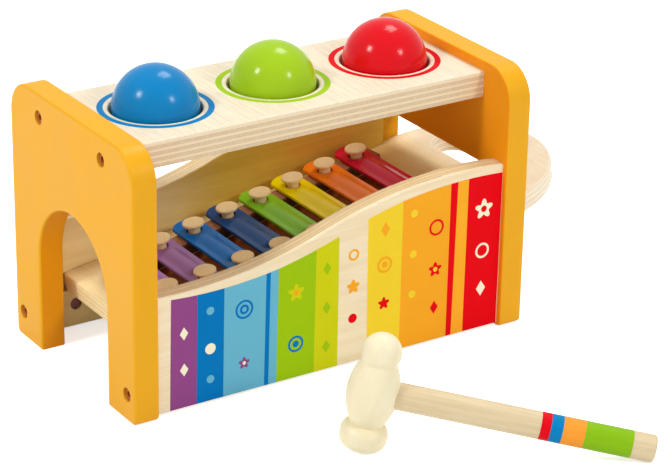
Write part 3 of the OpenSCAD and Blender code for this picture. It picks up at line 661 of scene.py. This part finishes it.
def ball_grid(centre, radius):
    """Sphere: radius times the sine and cosine of the angle from the top, carried round."""
    down = np.linspace(0, np.pi, 64)
    return turned(np.stack([radius * np.sin(down), radius * np.cos(down)], -1), 96) + centre


def torus_grid(centre, middle, tube):
    """Ring: a circle of the tube's radius, out by the middle radius, carried round."""
    angle = np.linspace(0, 2 * np.pi, 32, endpoint=False)
    return turned(np.stack([middle + tube * np.cos(angle), tube * np.sin(angle)], -1), 96) + centre


def annulus(centre, inner, outer, height):
    """Flat ring: radius from inner to outer, carried round at one height."""
    radii = np.linspace(inner, outer, 3)
    return turned(np.stack([radii, 0 * radii], -1), 128) + [centre[0], centre[1], height]


def key_patches(s, k):
    """Pressed key k on the tray's axes. Plan: a bar of one width, whose tips are arcs, with a round hole by
    each tip; square blocks round the holes are drawn in from the square to the circle. Height: a flat bar,
    raised within the ridge's half width by (1 - (distance / half width) squared) to the power 1.1, and
    lowered along every edge as a quarter circle."""
    n = 24  # faces across a key
    place = s.start + k * s.pitch
    w, half = s.width / 2, half_length(s, k)
    peg = half - s.inset
    run = peg - s.ridge_stop
    tip_r = (w * w + s.tip**2) / (2 * s.tip)

    # across the key, closer together towards its edges
    share = np.sin(np.linspace(-0.5, 0.5, n + 1) * np.pi)
    cross = w * np.sign(share) * np.abs(share) ** 0.85
    middle = np.stack(np.meshgrid(cross, np.linspace(-(peg - w), peg - w, 61)), -1)

    low, high = np.full(n + 1, -w), np.full(n + 1, w)
    sides = [(cross, low), (high, cross), (-cross, high), (low, -cross)]
    border = np.concatenate([np.stack(side, -1)[:-1] for side in sides])
    angle = np.arctan2(border[:, 1], border[:, 0])
    circle = s.hole * np.stack([np.cos(angle), np.sin(angle)], -1)
    steps = np.array([0, 0.03, 0.08, 0.16, 0.28, 0.42, 0.56, 0.7, 0.82, 0.91, 0.97, 1.0])[:, None, None]
    block = circle * (1 - steps) + border * steps

    reach = half - (tip_r - np.sqrt(tip_r**2 - cross**2))
    along = np.array([0, 0.2, 0.4, 0.58, 0.74, 0.86, 0.94, 0.98, 1.0])[:, None]
    tip = np.stack([cross + 0 * along, (peg + w) * (1 - along) + reach * along], -1)

    def lift(plan):
        """Top and bottom points over a plan of the key."""
        x, y = plan[..., 0], plan[..., 1]
        past = np.maximum(np.abs(y) - (half - tip_r), 0)
        edge = np.minimum(w - np.abs(x), np.where(past > 0, tip_r - np.hypot(x, past), w))
        edge = np.minimum(edge, np.hypot(x, np.abs(y) - peg) - s.hole)
        short = np.clip(s.edge - edge, 0, s.edge)
        fall = s.edge - np.sqrt(np.maximum(s.edge**2 - short**2, 0))
        off = np.hypot(x, np.maximum(np.abs(y) - run, 0)) / s.ridge_half
        rise = s.ridge * np.maximum(1 - off**2, 0) ** 1.1
        heights = (s.seat + s.metal + rise - fall, s.seat + rise + fall)
        return [np.stack([x + place, y, z], -1) for z in heights]

    def long_sides(top, bottom):
        """Walls under the first and last columns of a grid."""
        return [skin([top[:, column], bottom[:, column]]) for column in (0, -1)]

    patches = [skin(grid) for grid in lift(middle)]
    for side in (1, -1):
        flip = np.array([1, side])
        top, bottom = lift(block * flip + np.array([0, side * peg]))
        patches += [skin(top, False, True), skin(bottom, False, True), skin([top[0], bottom[0]], False, True)]
        # the block's second and fourth sides lie on the key's long edges
        for first in (n, 3 * n):
            index = np.arange(first, first + n + 1) % (4 * n)
            patches.append(skin([top[-1][index], bottom[-1][index]]))
        top, bottom = lift(tip * flip)
        patches += [skin(top), skin(bottom), skin([top[-1], bottom[-1]]), *long_sides(top, bottom)]
    return patches + long_sides(*lift(middle))


def peg_profile(s):
    """Mushroom: a straight stem, a cone, and a head whose rim is half a circle under a shallow dome."""
    up = np.linspace(-np.pi / 2, np.pi / 2, 15)
    rim = np.stack([s.head - s.rim + s.rim * np.cos(up), s.head_low + s.rim + s.rim * np.sin(up)], -1)
    top = s.head_low + 2 * s.rim
    curve = (s.head**2 + s.dome**2) / (2 * s.dome)
    rim[:, 1] = np.minimum(rim[:, 1], top - curve + np.sqrt(curve**2 - rim[:, 0] ** 2))
    rim[-1, 1] = top - curve + math.sqrt(curve**2 - rim[-1, 0] ** 2)
    inward = np.linspace(rim[-1, 0], 0, 9)[1:]
    dome = np.stack([inward, top - curve + np.sqrt(curve**2 - inward**2)], -1)
    sweep = np.linspace(0, 1, 9)[:, None]
    cone_radius = s.stem + (s.neck - s.stem) * sweep**1.8
    cone = np.concatenate([cone_radius, s.cone_low + (s.head_low - s.cone_low) * sweep], 1)
    stem = np.array([[0, -s.root], [s.stem, -s.root]])
    return np.concatenate([stem, cone, rim, dome])


def head_profile(s):
    """Mallet head: over the height, the widest of the soft foot, the barrel's arc and the ball, blended in
    the grooves by a smooth maximum: half their sum, plus half the root of their squared difference and a
    squared blend."""
    mid = s.foot_h + s.barrel_h / 2
    centre = s.foot_h + s.barrel_h + s.rise
    z = (1 - np.cos(np.linspace(0, np.pi, 241))) / 2 * (centre + s.ball)
    f = s.foot_r
    near = np.clip(np.maximum(f - z, z - (s.foot_h - f)), 0, f)
    foot = np.where(z <= s.foot_h, s.foot - f + np.sqrt(np.maximum(f * f - near**2, 0)), 0)
    drop = s.barrel - s.neck
    arc = ((s.barrel_h / 2) ** 2 + drop**2) / (2 * drop)
    barrel = s.barrel - arc + np.sqrt(np.maximum(arc**2 - (z - mid) ** 2, 0))
    barrel = np.where(np.abs(z - mid) < s.barrel_h * 0.56, barrel, 0)
    ball = np.sqrt(np.maximum(s.ball**2 - (z - centre) ** 2, 0))
    blend, most = 6e-4, 3e-4

    def join(a, b):
        """The smooth maximum where both are there, at most a little over the larger."""
        both = (a > 0) & (b > 0)
        soft = (a + b + np.sqrt((a - b) ** 2 + blend**2)) / 2
        return np.where(both, np.minimum(soft, np.maximum(a, b) + most), np.maximum(a, b))

    radius = join(join(foot, barrel), ball)
    radius[-1] = 0
    return np.concatenate([[[0, 0]], np.stack([radius, z], -1)])


def handle_profiles(s, ink=3e-5, step=0.004):
    """Handle along its own Z, as profiles with their materials: straight stretches of wood and of the four
    bands, which stand proud by their ink, then the flat back end, and the front end with a quarter circle
    round it."""
    ends = [-s.seat, s.red, s.blue, s.orange, s.green, s.bare, s.reach - s.end]
    profiles = []
    for low, high, slot in zip(ends, ends[1:], (0, 1, 2, 3, 4, 0)):
        along = np.linspace(low, high, max(3, int((high - low) / step)))
        profiles.append((np.stack([np.full(len(along), s.handle + (ink if slot else 0)), along], -1), slot))
    bend = np.linspace(0, np.pi / 2, 9)
    corner = np.stack([s.handle - s.end + s.end * np.cos(bend), s.reach - s.end + s.end * np.sin(bend)], -1)
    back = np.array([[0, -s.seat], [s.handle, -s.seat]])
    return profiles + [(back, 0), (np.concatenate([corner, [[0.0, s.reach]]]), 0)]


def wave_top(s, x):
    """Height of the wave: a hollow arc up to its middle, and a crown arc of the same radius after it."""
    rise = s.high - s.low
    radius = (s.run**2 + rise**2) / (4 * rise)
    hollow = s.low + radius - np.sqrt(radius**2 - (x - s.start) ** 2)
    crown = s.high - radius + np.sqrt(radius**2 - (x - s.start - s.run) ** 2)
    return np.where(x < s.start + s.run / 2, hollow, crown)


# Places along the bench, and how far below the wave the print ends there
PRINT_X = (0.0006, 0.0216, 0.0506, 0.0856, 0.1206, 0.1606, 0.2234)
PRINT_DROP = (0.0020, 0.0022, 0.0042, 0.0066, 0.0082, 0.0062, 0.0048)

# Each stripe: its ink, its left edge at the foot and the top, its right edge so too, and layers in front
STRIPES = [
    ("purple", (0.0216, 0.0226), (0.0369, 0.0376), 0),
    ("blue", (0.0369, 0.0376), (0.0525, 0.0532), 0),
    ("sky", (0.0525, 0.0532), (0.0840, 0.0850), 0),
    ("blue", (0.0767, 0.0778), (0.0792, 0.0803), 1),
    ("green", (0.0840, 0.0850), (0.1068, 0.1075), 0),
    ("lime", (0.1068, 0.1075), (0.1213, 0.1213), 0),
    ("yellow", (0.1395, 0.1388), (0.1600, 0.1603), 0),
    ("orange", (0.1600, 0.1603), (0.1900, 0.1903), 0),
    ("red", (0.1900, 0.1903), (0.1934, 0.1948), 0),
    ("amber", (0.1934, 0.1948), (0.2010, 0.2016), 0),
    ("red", (0.2010, 0.2016), (0.2230, 0.2233), 0),
]


def stripe(s, left, right, bottom, y):
    """Stripe between two slanting edges: straight across, and up from the wall's foot to the wave less the
    print's drop there."""
    across, up = np.linspace(0, 1, 24), np.linspace(0, 1, 16)[:, None]
    foot, head = (left[i] + (right[i] - left[i]) * across for i in (0, 1))
    top = wave_top(s, head) - np.interp(head, PRINT_X, PRINT_DROP)
    return np.stack([foot + (head - foot) * up, y + 0 * up * foot, bottom + (top - bottom) * up], -1)


def disc(angle):
    """Circle: the radius is 1 all round."""
    return 1 + 0 * angle


def diamond(angle):
    """Diamond: 1 over the sum of the sine's and cosine's sizes, the cosine's raised to make it tall."""
    return 1 / (np.abs(np.cos(angle)) * 1.5 + np.abs(np.sin(angle)))


def petals(angle):
    """Five-petalled flower: a cosine of five times the angle, added to a constant."""
    return 0.78 + 0.22 * np.cos(5 * (angle - np.pi / 2))


# Motifs by their place along the bench: ink, height, radius, outline, and the share of it that is left open
MOTIFS = {
    0.0648: [("blue", 0.048, 0.0052, disc, 0.78), ("blue", 0.048, 0.0026, disc, 0.55),
             ("purple", 0.018, 0.0034, petals, 0), ("cream", 0.018, 0.0010, disc, 0)],
    0.0450: [("cream", 0.031, 0.0030, disc, 0), ("sky", 0.052, 0.0022, disc, 0),
             ("sky", 0.014, 0.0022, disc, 0)],
    0.0298: [("cream", 0.043, 0.0036, diamond, 0), ("cream", 0.023, 0.0036, diamond, 0)],
    0.0956: [("lime", 0.050, 0.0050, petals, 0), ("orange", 0.050, 0.0015, disc, 0),
             ("blue", 0.021, 0.0046, disc, 0.74), ("blue", 0.021, 0.0018, disc, 0)],
    0.1142: [("green", z, 0.0036, diamond, 0) for z in (0.037, 0.059, 0.015)],
    0.1303: [("orange", 0.063, 0.0032, disc, 0.66), ("orange", 0.045, 0.0040, petals, 0),
             ("red", 0.027, 0.0026, disc, 0)],
    0.1496: [("orange", 0.073, 0.0040, diamond, 0), ("orange", 0.053, 0.0046, disc, 0.72),
             ("orange", 0.053, 0.0018, disc, 0), ("red", 0.031, 0.0036, petals, 0)],
    0.1674: [("yellow", z, 0.0022, disc, 0) for z in (0.078, 0.055, 0.032)],
    0.1818: [("red", 0.067, 0.0046, disc, 0.74), ("red", 0.043, 0.0042, petals, 0),
             ("yellow", 0.043, 0.0013, disc, 0), ("red", 0.021, 0.0038, diamond, 0)],
    0.2120: [("cream", 0.071, 0.0058, petals, 0), ("red", 0.071, 0.0018, disc, 0),
             ("cream", 0.047, 0.0044, disc, 0.72), ("cream", 0.025, 0.0044, diamond, 0)],
}


def motif(x, z, y, radius, outline, inner):
    """Flat motif on the wall: round its centre, its radius times an outline over the angle, from the inner
    share to full size."""
    angle = np.linspace(0, 2 * np.pi, 48, endpoint=False)
    r = radius * outline(angle) * np.linspace(inner, 1, 4)[:, None]
    grid = np.stack([x + r * np.cos(angle), y + 0 * r, z + r * np.sin(angle)], -1)
    if inner == 0:
        grid[0] = grid[0].mean(0)
    return grid


# ---- Operators ----


class FINISH_OT_groups(bpy.types.Operator):
    """Make the shared shader groups"""

    bl_idname = "pounding_bench.groups"
    bl_label = "Shader groups"

    def execute(self, context):
        fibre_group()
        ply_group()
        film_group()
        return {"FINISHED"}


class PANEL_OT_ends(bpy.types.Operator):
    """Paint the two end panels"""

    bl_idname = "pounding_bench.end_panels"
    bl_label = "End panels"

    def execute(self, context):
        s = context.scene.bench_finish
        # painted shade on what faces the room between the panels, and in the left panel's arch
        tints_and_shades = [
            (((118.8, 105.1, 0.2), ENDLESS, ENDLESS), s.panel_inner_shade),
            (((7.6, 6.3, 0.3), (64.5, 36.6, 0.3), (45.0, 46.0, 0.3)), s.panel_arch_shade),
        ]
        paint = painted("Panel paint", s.panel, rough=0.38, gloss=0.1, drift=0.02, peel=1.6, origin=CORNER,
                        tints_and_shades=tints_and_shades)
        for side in ("left", "right"):
            smooth_copy("end_panel_" + side, paint, "bench")
        return {"FINISHED"}


class BOARD_OT_plywood(bpy.types.Operator):
    """Finish the top board, the walls and the tray as birch plywood"""

    bl_idname = "pounding_bench.boards"
    bl_label = "Plywood boards"

    def execute(self, context):
        s = context.scene.bench_finish
        birch = (s.birch_light, s.birch_dark, s.glue)
        low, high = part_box("top_board")
        thick = (high.z - low.z) * 1000
        tints_and_shades = [((ENDLESS, ENDLESS, (thick / 2, thick / 2 - 0.9, 0.1)), s.birch_edge)]
        board = plywood("Top board ply", birch, low, (0, 0, 0), layer=thick / 9, glue_share=0.3,
                        glue_width=0.1, cross=0.8, tints_and_shades=tints_and_shades)
        smooth_copy("top_board", board, "bench", bevel=0.0003)
        for side, inner, slot in (("front", 1, "wall_print"), ("back", 0, "wall_ply")):
            low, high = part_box(side + "_wall")
            thick = (high.y - low.y) * 1000
            # the plywood's own Z runs through the wall, and its inner face lies at one end of it
            face = (inner * thick, 0.2, 0.1)
            # the inner veneers' own darker tone, painted warm shade on the inner face, and on the back wall
            # painted golden shade towards its high end
            tints_and_shades = [
                ((ENDLESS, ENDLESS, (thick / 2, thick / 2 - 1.4, 0.1)), s.wall_edge),
                ((ENDLESS, ENDLESS, face), s.birch_inner_shade),
            ]
            if side == "back":
                tints_and_shades.append((((172.0, 62.0, 50.0), ENDLESS, face), s.back_wall_shade))
            ply = plywood(side.capitalize() + " wall ply", (s.wall_light, s.wall_dark, s.glue), low,
                          (-math.pi / 2, 0, 0), layer=thick / 4, glue_share=0.8, glue_width=0.06,
                          cross=0.25, tints_and_shades=tints_and_shades)
            smooth_copy(side + "_wall", ply, "bench", bevel=0.0003)
        axes, zero = tray_axes()
        thick = TRAY_THICK * 1000
        # along, across and above the tray's underside: painted warm shade on what lies in the bench and
        # beside the last key, and painted shade in the trough
        tints_and_shades = [
            (((80.0, 122.0, 30.0), ENDLESS, (thick, 12.0, 1.0)), s.birch_inner_shade),
            (((165.0, 30.0, 35.0), ENDLESS, (thick, 0.5, 0.5)), s.tray_end_shade),
            (((100.6, 85.6, 0.1), (0.0, 31.0, 0.1), (7.6, 3.0, 0.1)), s.trough),
        ]
        ply = plywood("Tray ply", birch, zero - TRAY_THICK * axes[:, 2], (0, -SLOPE, 0), layer=thick / 7,
                      glue_share=0.7, glue_width=0.08, cross=0.45, tints_and_shades=tints_and_shades)
        smooth_copy("tray_board", ply, "xylophone", bevel=0.0003)
        return {"FINISHED"}


class RAIL_OT_rails(bpy.types.Operator):
    """Finish the rails, felt strips, dowels, bolts and nuts"""

    bl_idname = "pounding_bench.fixings"
    bl_label = "Rails and fixings"

    def execute(self, context):
        s = context.scene.bench_finish
        # the browns of the rail wood and the felt are partly painted shade, matched to the shade between the
        # keys
        rail = wooden("Rail wood", s.rail, [c * 0.9 for c in s.rail], (0, 0, 0), (0, -SLOPE, 0))
        felt = felted("Felt", s.felt)
        bolt = metallic("Bolt plating", s.bolt, 0.5, share=0.15)
        nut = metallic("Nut plating", s.nut, 0.4, share=0.6)
        for side in ("front", "rear"):
            smooth_copy("key_rail_" + side, rail, "xylophone", bevel=0.0005)
            smooth_copy("felt_strip_" + side, felt, "xylophone", bevel=0.0002)
        for side in ("left", "right"):
            smooth_copy("bolts_" + side, bolt, "bench", bevel=0.0003)
            smooth_copy("barrel_nuts_" + side, nut, "bench")
            smooth_copy("dowels_" + side, rail, "bench")
        return {"FINISHED"}


class BALL_OT_balls(bpy.types.Operator):
    """Make the three lacquered balls, their rubber rings and the rings printed round the holes"""

    bl_idname = "pounding_bench.balls"
    bl_label = "Balls and rings"

    def execute(self, context):
        s = context.scene.ball_finish
        rubber = rubbery("Ring rubber", context.scene.bench_finish.rubber)
        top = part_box("top_board")[1].z
        for tone, place in BALLS.items():
            name, ring = "ball_" + tone, "ball_ring_" + place
            colour = getattr(s, tone)
            low, high = (np.array(v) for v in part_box(name))
            centre, radius = (low + high) / 2, (high[2] - low[2]) / 2
            lacquer = painted(tone.capitalize() + " lacquer", colour, rough=0.18, gloss=0.18, drift=0.02,
                              peel=2.2, depth=1e-5)
            patches = [skin(ball_grid(centre, radius), False, True)]
            build(name + "_lacquered", patches, [lacquer], name, [name])
            low, high = (np.array(v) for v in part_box(ring))
            tube = (high[2] - low[2]) / 2
            patches = [skin(torus_grid((low + high) / 2, (high[0] - low[0]) / 2 - tube, tube), True, True)]
            build(ring + "_rubber", patches, [rubber], "bench", [ring])
            ink = painted(tone.capitalize() + " ring ink", colour, rough=0.5, gloss=0.05, grain=0.06)
            flat = annulus(centre, s.ring_in, s.ring_out, top + s.ink)
            build("printed_ring_" + place, tile(flat, (0, 0, -4 * s.ink), True), [ink], "bench")
        return {"FINISHED"}


class KEY_OT_keys(bpy.types.Operator):
    """Make the eight pressed and painted metal keys"""

    bl_idname = "pounding_bench.keys"
    bl_label = "Keys"

    def execute(self, context):
        s = context.scene.key_sizes
        axes, zero = tray_axes()
        for k, tone in enumerate(KEYS):
            name = "key_" + tone
            paint = painted(tone.capitalize() + " key paint", getattr(s, tone), rough=0.19, gloss=0.18,
                            drift=0.04, peel=0.9, depth=1.2e-5)
            patches = [(placed(grid, axes, zero), *rest) for grid, *rest in key_patches(s, k)]
            build(name + "_pressed", patches, [paint], "xylophone", [name], crease=40)
        return {"FINISHED"}


class PEG_OT_pegs(bpy.types.Operator):
    """Make the two rows of turned pegs"""

    bl_idname = "pounding_bench.pegs"
    bl_label = "Pegs"

    def execute(self, context):
        s, keys = context.scene.peg_sizes, context.scene.key_sizes
        axes, zero = tray_axes()
        wood = wooden("Peg wood", s.wood, s.figure, zero, turn_of(axes @ Z_TO_X), length=9.0, width=1.1,
                      pores=0.06, rough=0.52)
        peg = turned(peg_profile(s), 40)
        for row, side in (("front", -1), ("rear", 1)):
            name = "key_pegs_" + row
            patches = []
            for k in range(len(KEYS)):
                place = [keys.start + k * keys.pitch, side * (half_length(keys, k) - keys.inset), 0]
                patches.append(skin(placed(peg + place, axes, zero), False, True))
            build(name + "_turned", patches, [wood], "xylophone", [name], crease=50)
        return {"FINISHED"}


class PRINT_OT_stripes(bpy.types.Operator):
    """Print the stripes and the small motifs on the front wall"""

    bl_idname = "pounding_bench.print"
    bl_label = "Wall print"

    def execute(self, context):
        s = context.scene.print_sizes
        tones = ["purple", "blue", "sky", "green", "lime", "yellow", "orange", "red", "cream", "amber"]
        inks = [
            painted("Print " + tone, getattr(s, tone), rough=0.5, gloss=0.04, drift=0.02, grain=0.06)
            for tone in tones
        ]
        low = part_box("front_wall")[0]
        y = low.y - CORNER[1] - s.ink
        place = [CORNER[0], CORNER[1], 0]
        patches = []
        for tone, left, right, step in STRIPES:
            grid = stripe(s, left, right, low.z, y - step * s.ink) + place
            patches += tile(grid, (0, (5 + step) * s.ink, 0), False, tones.index(tone))
        build("front_wall_stripes", patches, inks, "bench")
        patches = []
        for x, column in MOTIFS.items():
            for k, (tone, z, radius, outline, inner) in enumerate(column):
                # one that lies on another motif is a layer further in front
                over = any(z == other[1] for other in column[:k])
                grid = motif(x, z, y - (2 + over) * s.ink, radius, outline, inner) + place
                patches += tile(grid, (0, 6 * s.ink, 0), True, tones.index(tone))
        build("front_wall_motifs", patches, inks, "bench")
        return {"FINISHED"}


class MALLET_OT_mallet(bpy.types.Operator):
    """Turn the mallet's head and its banded handle"""

    bl_idname = "pounding_bench.mallet"
    bl_label = "Mallet"

    def execute(self, context):
        s, balls = context.scene.mallet_sizes, context.scene.ball_finish
        axes, zero = mallet_axes(s)
        wood = wooden("Mallet head wood", s.head_light, s.head_dark, zero, turn_of(axes @ Z_TO_X),
                      length=55.0, width=5.0, pores=0.06, rough=0.42, depth=1e-5)
        patches = [skin(placed(turned(head_profile(s), 96), axes, zero), False, True)]
        build("mallet_head_turned", patches, [wood], "mallet", ["mallet_head"], crease=60)
        finishes = [wooden("Handle wood", s.stick_light, s.stick_dark, zero, turn_of(axes), length=70.0,
                           width=2.4, pores=0.25)]
        bands = {"red": balls.red, "blue": balls.blue, "orange": s.band_orange, "green": s.band_green}
        for tone, colour in bands.items():
            finishes.append(painted("Band " + tone, colour, rough=0.45, gloss=0.08, grain=0.05))
        socket = [0, 0, s.foot_h + s.barrel_h / 2]
        patches = []
        for profile, slot in handle_profiles(s):
            grid = placed(placed(turned(profile), Z_TO_X, socket), axes, zero)
            patches.append(skin(grid, False, True, slot))
        build("mallet_handle_banded", patches, finishes, "mallet",
              ["mallet_handle"], crease=50)
        return {"FINISHED"}


# The camera: lens and sensor in millimetres, its turns in radians, and its place from the bench's corner
LENS, SENSOR = 143.44, 36.0
YAW, PITCH, ROLL = 0.581459588, 0.414472114, 0.01901468
EYE = (-0.5598354, -1.0267935, 0.6176097)

# The point that the softboxes face, and each by its way from there in the camera's right, up and back, its
# distance and width, and its power in watts
AIM = np.array([0.0, 0.06, 0.08])
SOFTBOXES = [
    ("Left softbox", (-0.62, 0.45, 0.64), 1.9, 0.31, 14.2),
    ("Right softbox", (0.67, 0.30, 0.68), 1.9, 0.28, 9.2),
    ("Top softbox", (0.20, 0.98, -0.02), 1.7, 0.5, 10.5),
]
LAMP_TONE = (1.0, 0.985, 0.96)

# The room's light, and the floor: its two tones, the white that lifts it where it is seen, and half its side
WHITE = (1, 1, 1, 1)
ROOM_TONE, ROOM_POWER = (1.0, 0.99, 0.975, 1), 0.54
FLOOR_TONES = (0.90, 0.90, 0.90, 1), (0.92, 0.92, 0.92, 1)
FLOOR_LIFT, FLOOR_HALF = 0.62, 4.0


def unit(way):
    """Way with a length of 1."""
    return way / np.linalg.norm(way)


def stand(name, data, right, up, back, place):
    """Camera or lamp that stands at a place, turned to its own right, up and back."""
    holder = bpy.data.objects.new(name, data)
    rows = [[column[i] for column in (right, up, back, place)] for i in range(3)]
    holder.matrix_world = Matrix(rows + [[0, 0, 0, 1]])
    bpy.context.scene.collection.objects.link(holder)
    return holder


def seen(tree):
    """1 for rays that see the background: straight from the camera, mirrored, or through glass."""
    path = add(tree, "ShaderNodeLightPath").outputs
    rays = maths(tree, "ADD", path["Is Camera Ray"], path["Is Glossy Ray"])
    return maths(tree, "MINIMUM", maths(tree, "ADD", rays, path["Is Transmission Ray"]), 1.0)


class STAGE_OT_stage(bpy.types.Operator):
    """Set the camera, the pale floor, the white background and the soft lamps"""

    bl_idname = "pounding_bench.stage"
    bl_label = "Stage"

    def execute(self, context):
        context.scene.view_settings.view_transform = "Standard"
        self.light(*self.look(context.scene))
        self.whiten(context.scene)
        self.lay_floor(context.scene)
        return {"FINISHED"}

    def look(self, scene):
        """Camera: it looks ahead by its yaw and pitch, and its roll turns its right and up."""
        camera = bpy.data.cameras.new("Camera")
        camera.sensor_width, camera.lens = SENSOR, LENS
        camera.clip_start, camera.clip_end = 0.05, 50.0
        level = np.array([math.sin(YAW), math.cos(YAW), 0])
        ahead = level * math.cos(PITCH) - np.array([0, 0, math.sin(PITCH)])
        flat = unit(np.cross(ahead, [0, 0, 1]))
        tall = np.cross(flat, ahead)
        right = math.cos(ROLL) * flat + math.sin(ROLL) * tall
        up = math.cos(ROLL) * tall - math.sin(ROLL) * flat
        scene.camera = stand("Camera", camera, right, up, -ahead, CORNER + np.array(EYE))
        return right, up, -ahead

    def light(self, right, up, back):
        """Softboxes that face the set."""
        for name, way, distance, size, power in SOFTBOXES:
            lamp = bpy.data.lights.new(name, "AREA")
            lamp.shape = "RECTANGLE"
            lamp.size, lamp.size_y = size, size * 1.2
            lamp.energy, lamp.color = power, LAMP_TONE
            out = unit(way[0] * right + way[1] * up + way[2] * back)
            flat = unit(np.cross([0, 0, 1], out))
            stand(name, lamp, flat, np.cross(out, flat), out, AIM + out * distance)

    def whiten(self, scene):
        """World: soft light on the set, and white where it is seen."""
        scene.world = bpy.data.worlds.new("White room")
        scene.world.use_nodes = True
        tree = scene.world.node_tree
        tree.nodes.clear()
        room = add(tree, "ShaderNodeBackground", {"Color": ROOM_TONE, "Strength": ROOM_POWER}).outputs[0]
        white = add(tree, "ShaderNodeBackground", {"Color": WHITE, "Strength": 1.0}).outputs[0]
        mix = add(tree, "ShaderNodeMixShader", {0: seen(tree), 1: room, 2: white})
        add(tree, "ShaderNodeOutputWorld", {0: mix.outputs[0]})

    def lay_floor(self, scene):
        """Pale paper floor, lifted towards white where it is seen."""
        floor = bpy.data.materials.new("Pale floor")
        floor.use_nodes = True
        tree = floor.node_tree
        tree.nodes.clear()
        sheet = use(tree, "Paint film", {"Vector": millimetres(tree), "Cloud size": 90.0, "Peel size": 2.0})
        tone = mixed(tree, sheet["Cloud"], *FLOOR_TONES)
        paper = add(tree, "ShaderNodeBsdfDiffuse", {"Color": tone}).outputs[0]
        lift = maths(tree, "MULTIPLY", seen(tree), FLOOR_LIFT)
        glow = add(tree, "ShaderNodeEmission", {"Color": WHITE, "Strength": lift}).outputs[0]
        both = add(tree, "ShaderNodeAddShader", {0: paper, 1: glow})
        add(tree, "ShaderNodeOutputMaterial", {0: both.outputs[0]})
        side = np.linspace(-FLOOR_HALF, FLOOR_HALF, 9)
        x, y = np.meshgrid(side, side)
        mesh = bpy.data.meshes.new("Floor")
        mesh.from_pydata(np.stack([x, y, 0 * x], -1).reshape(-1, 3), [], patch_faces(9, 9, False, False))
        mesh.materials.append(floor)
        ground = bpy.data.objects.new("Floor", mesh)
        scene.collection.objects.link(ground)


OPERATORS = [
    FINISH_OT_groups,
    STAGE_OT_stage,
    PANEL_OT_ends,
    BOARD_OT_plywood,
    RAIL_OT_rails,
    BALL_OT_balls,
    KEY_OT_keys,
    PEG_OT_pegs,
    PRINT_OT_stripes,
    MALLET_OT_mallet,
]


class BENCH_PT_sidebar(bpy.types.Panel):
    """Lists the bench's pieces in the sidebar"""

    bl_idname = "BENCH_PT_sidebar"
    bl_label = "Pounding bench"
    bl_space_type = "VIEW_3D"
    bl_region_type = "UI"
    bl_category = "Pounding bench"

    def draw(self, context):
        for operator in OPERATORS:
            self.layout.operator(operator.bl_idname)
        for name, group in GROUPS.items():
            box = self.layout.box()
            box.label(text=group.__doc__)
            for label in group.__annotations__:
                box.prop(getattr(context.scene, name), label)


def register():
    for group in GROUPS.values():
        bpy.utils.register_class(group)
    for name, group in GROUPS.items():
        setattr(bpy.types.Scene, name, PointerProperty(type=group))
    for made in [*OPERATORS, BENCH_PT_sidebar]:
        bpy.utils.register_class(made)


def unregister():
    for made in [BENCH_PT_sidebar, *reversed(OPERATORS)]:
        bpy.utils.unregister_class(made)
    for name, group in GROUPS.items():
        delattr(bpy.types.Scene, name)
        bpy.utils.unregister_class(group)


def main():
    register()
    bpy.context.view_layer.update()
    for operator in OPERATORS:
        area, name = operator.bl_idname.split(".")
        getattr(getattr(bpy.ops, area), name)()


if __name__ == "__main__":
    main()
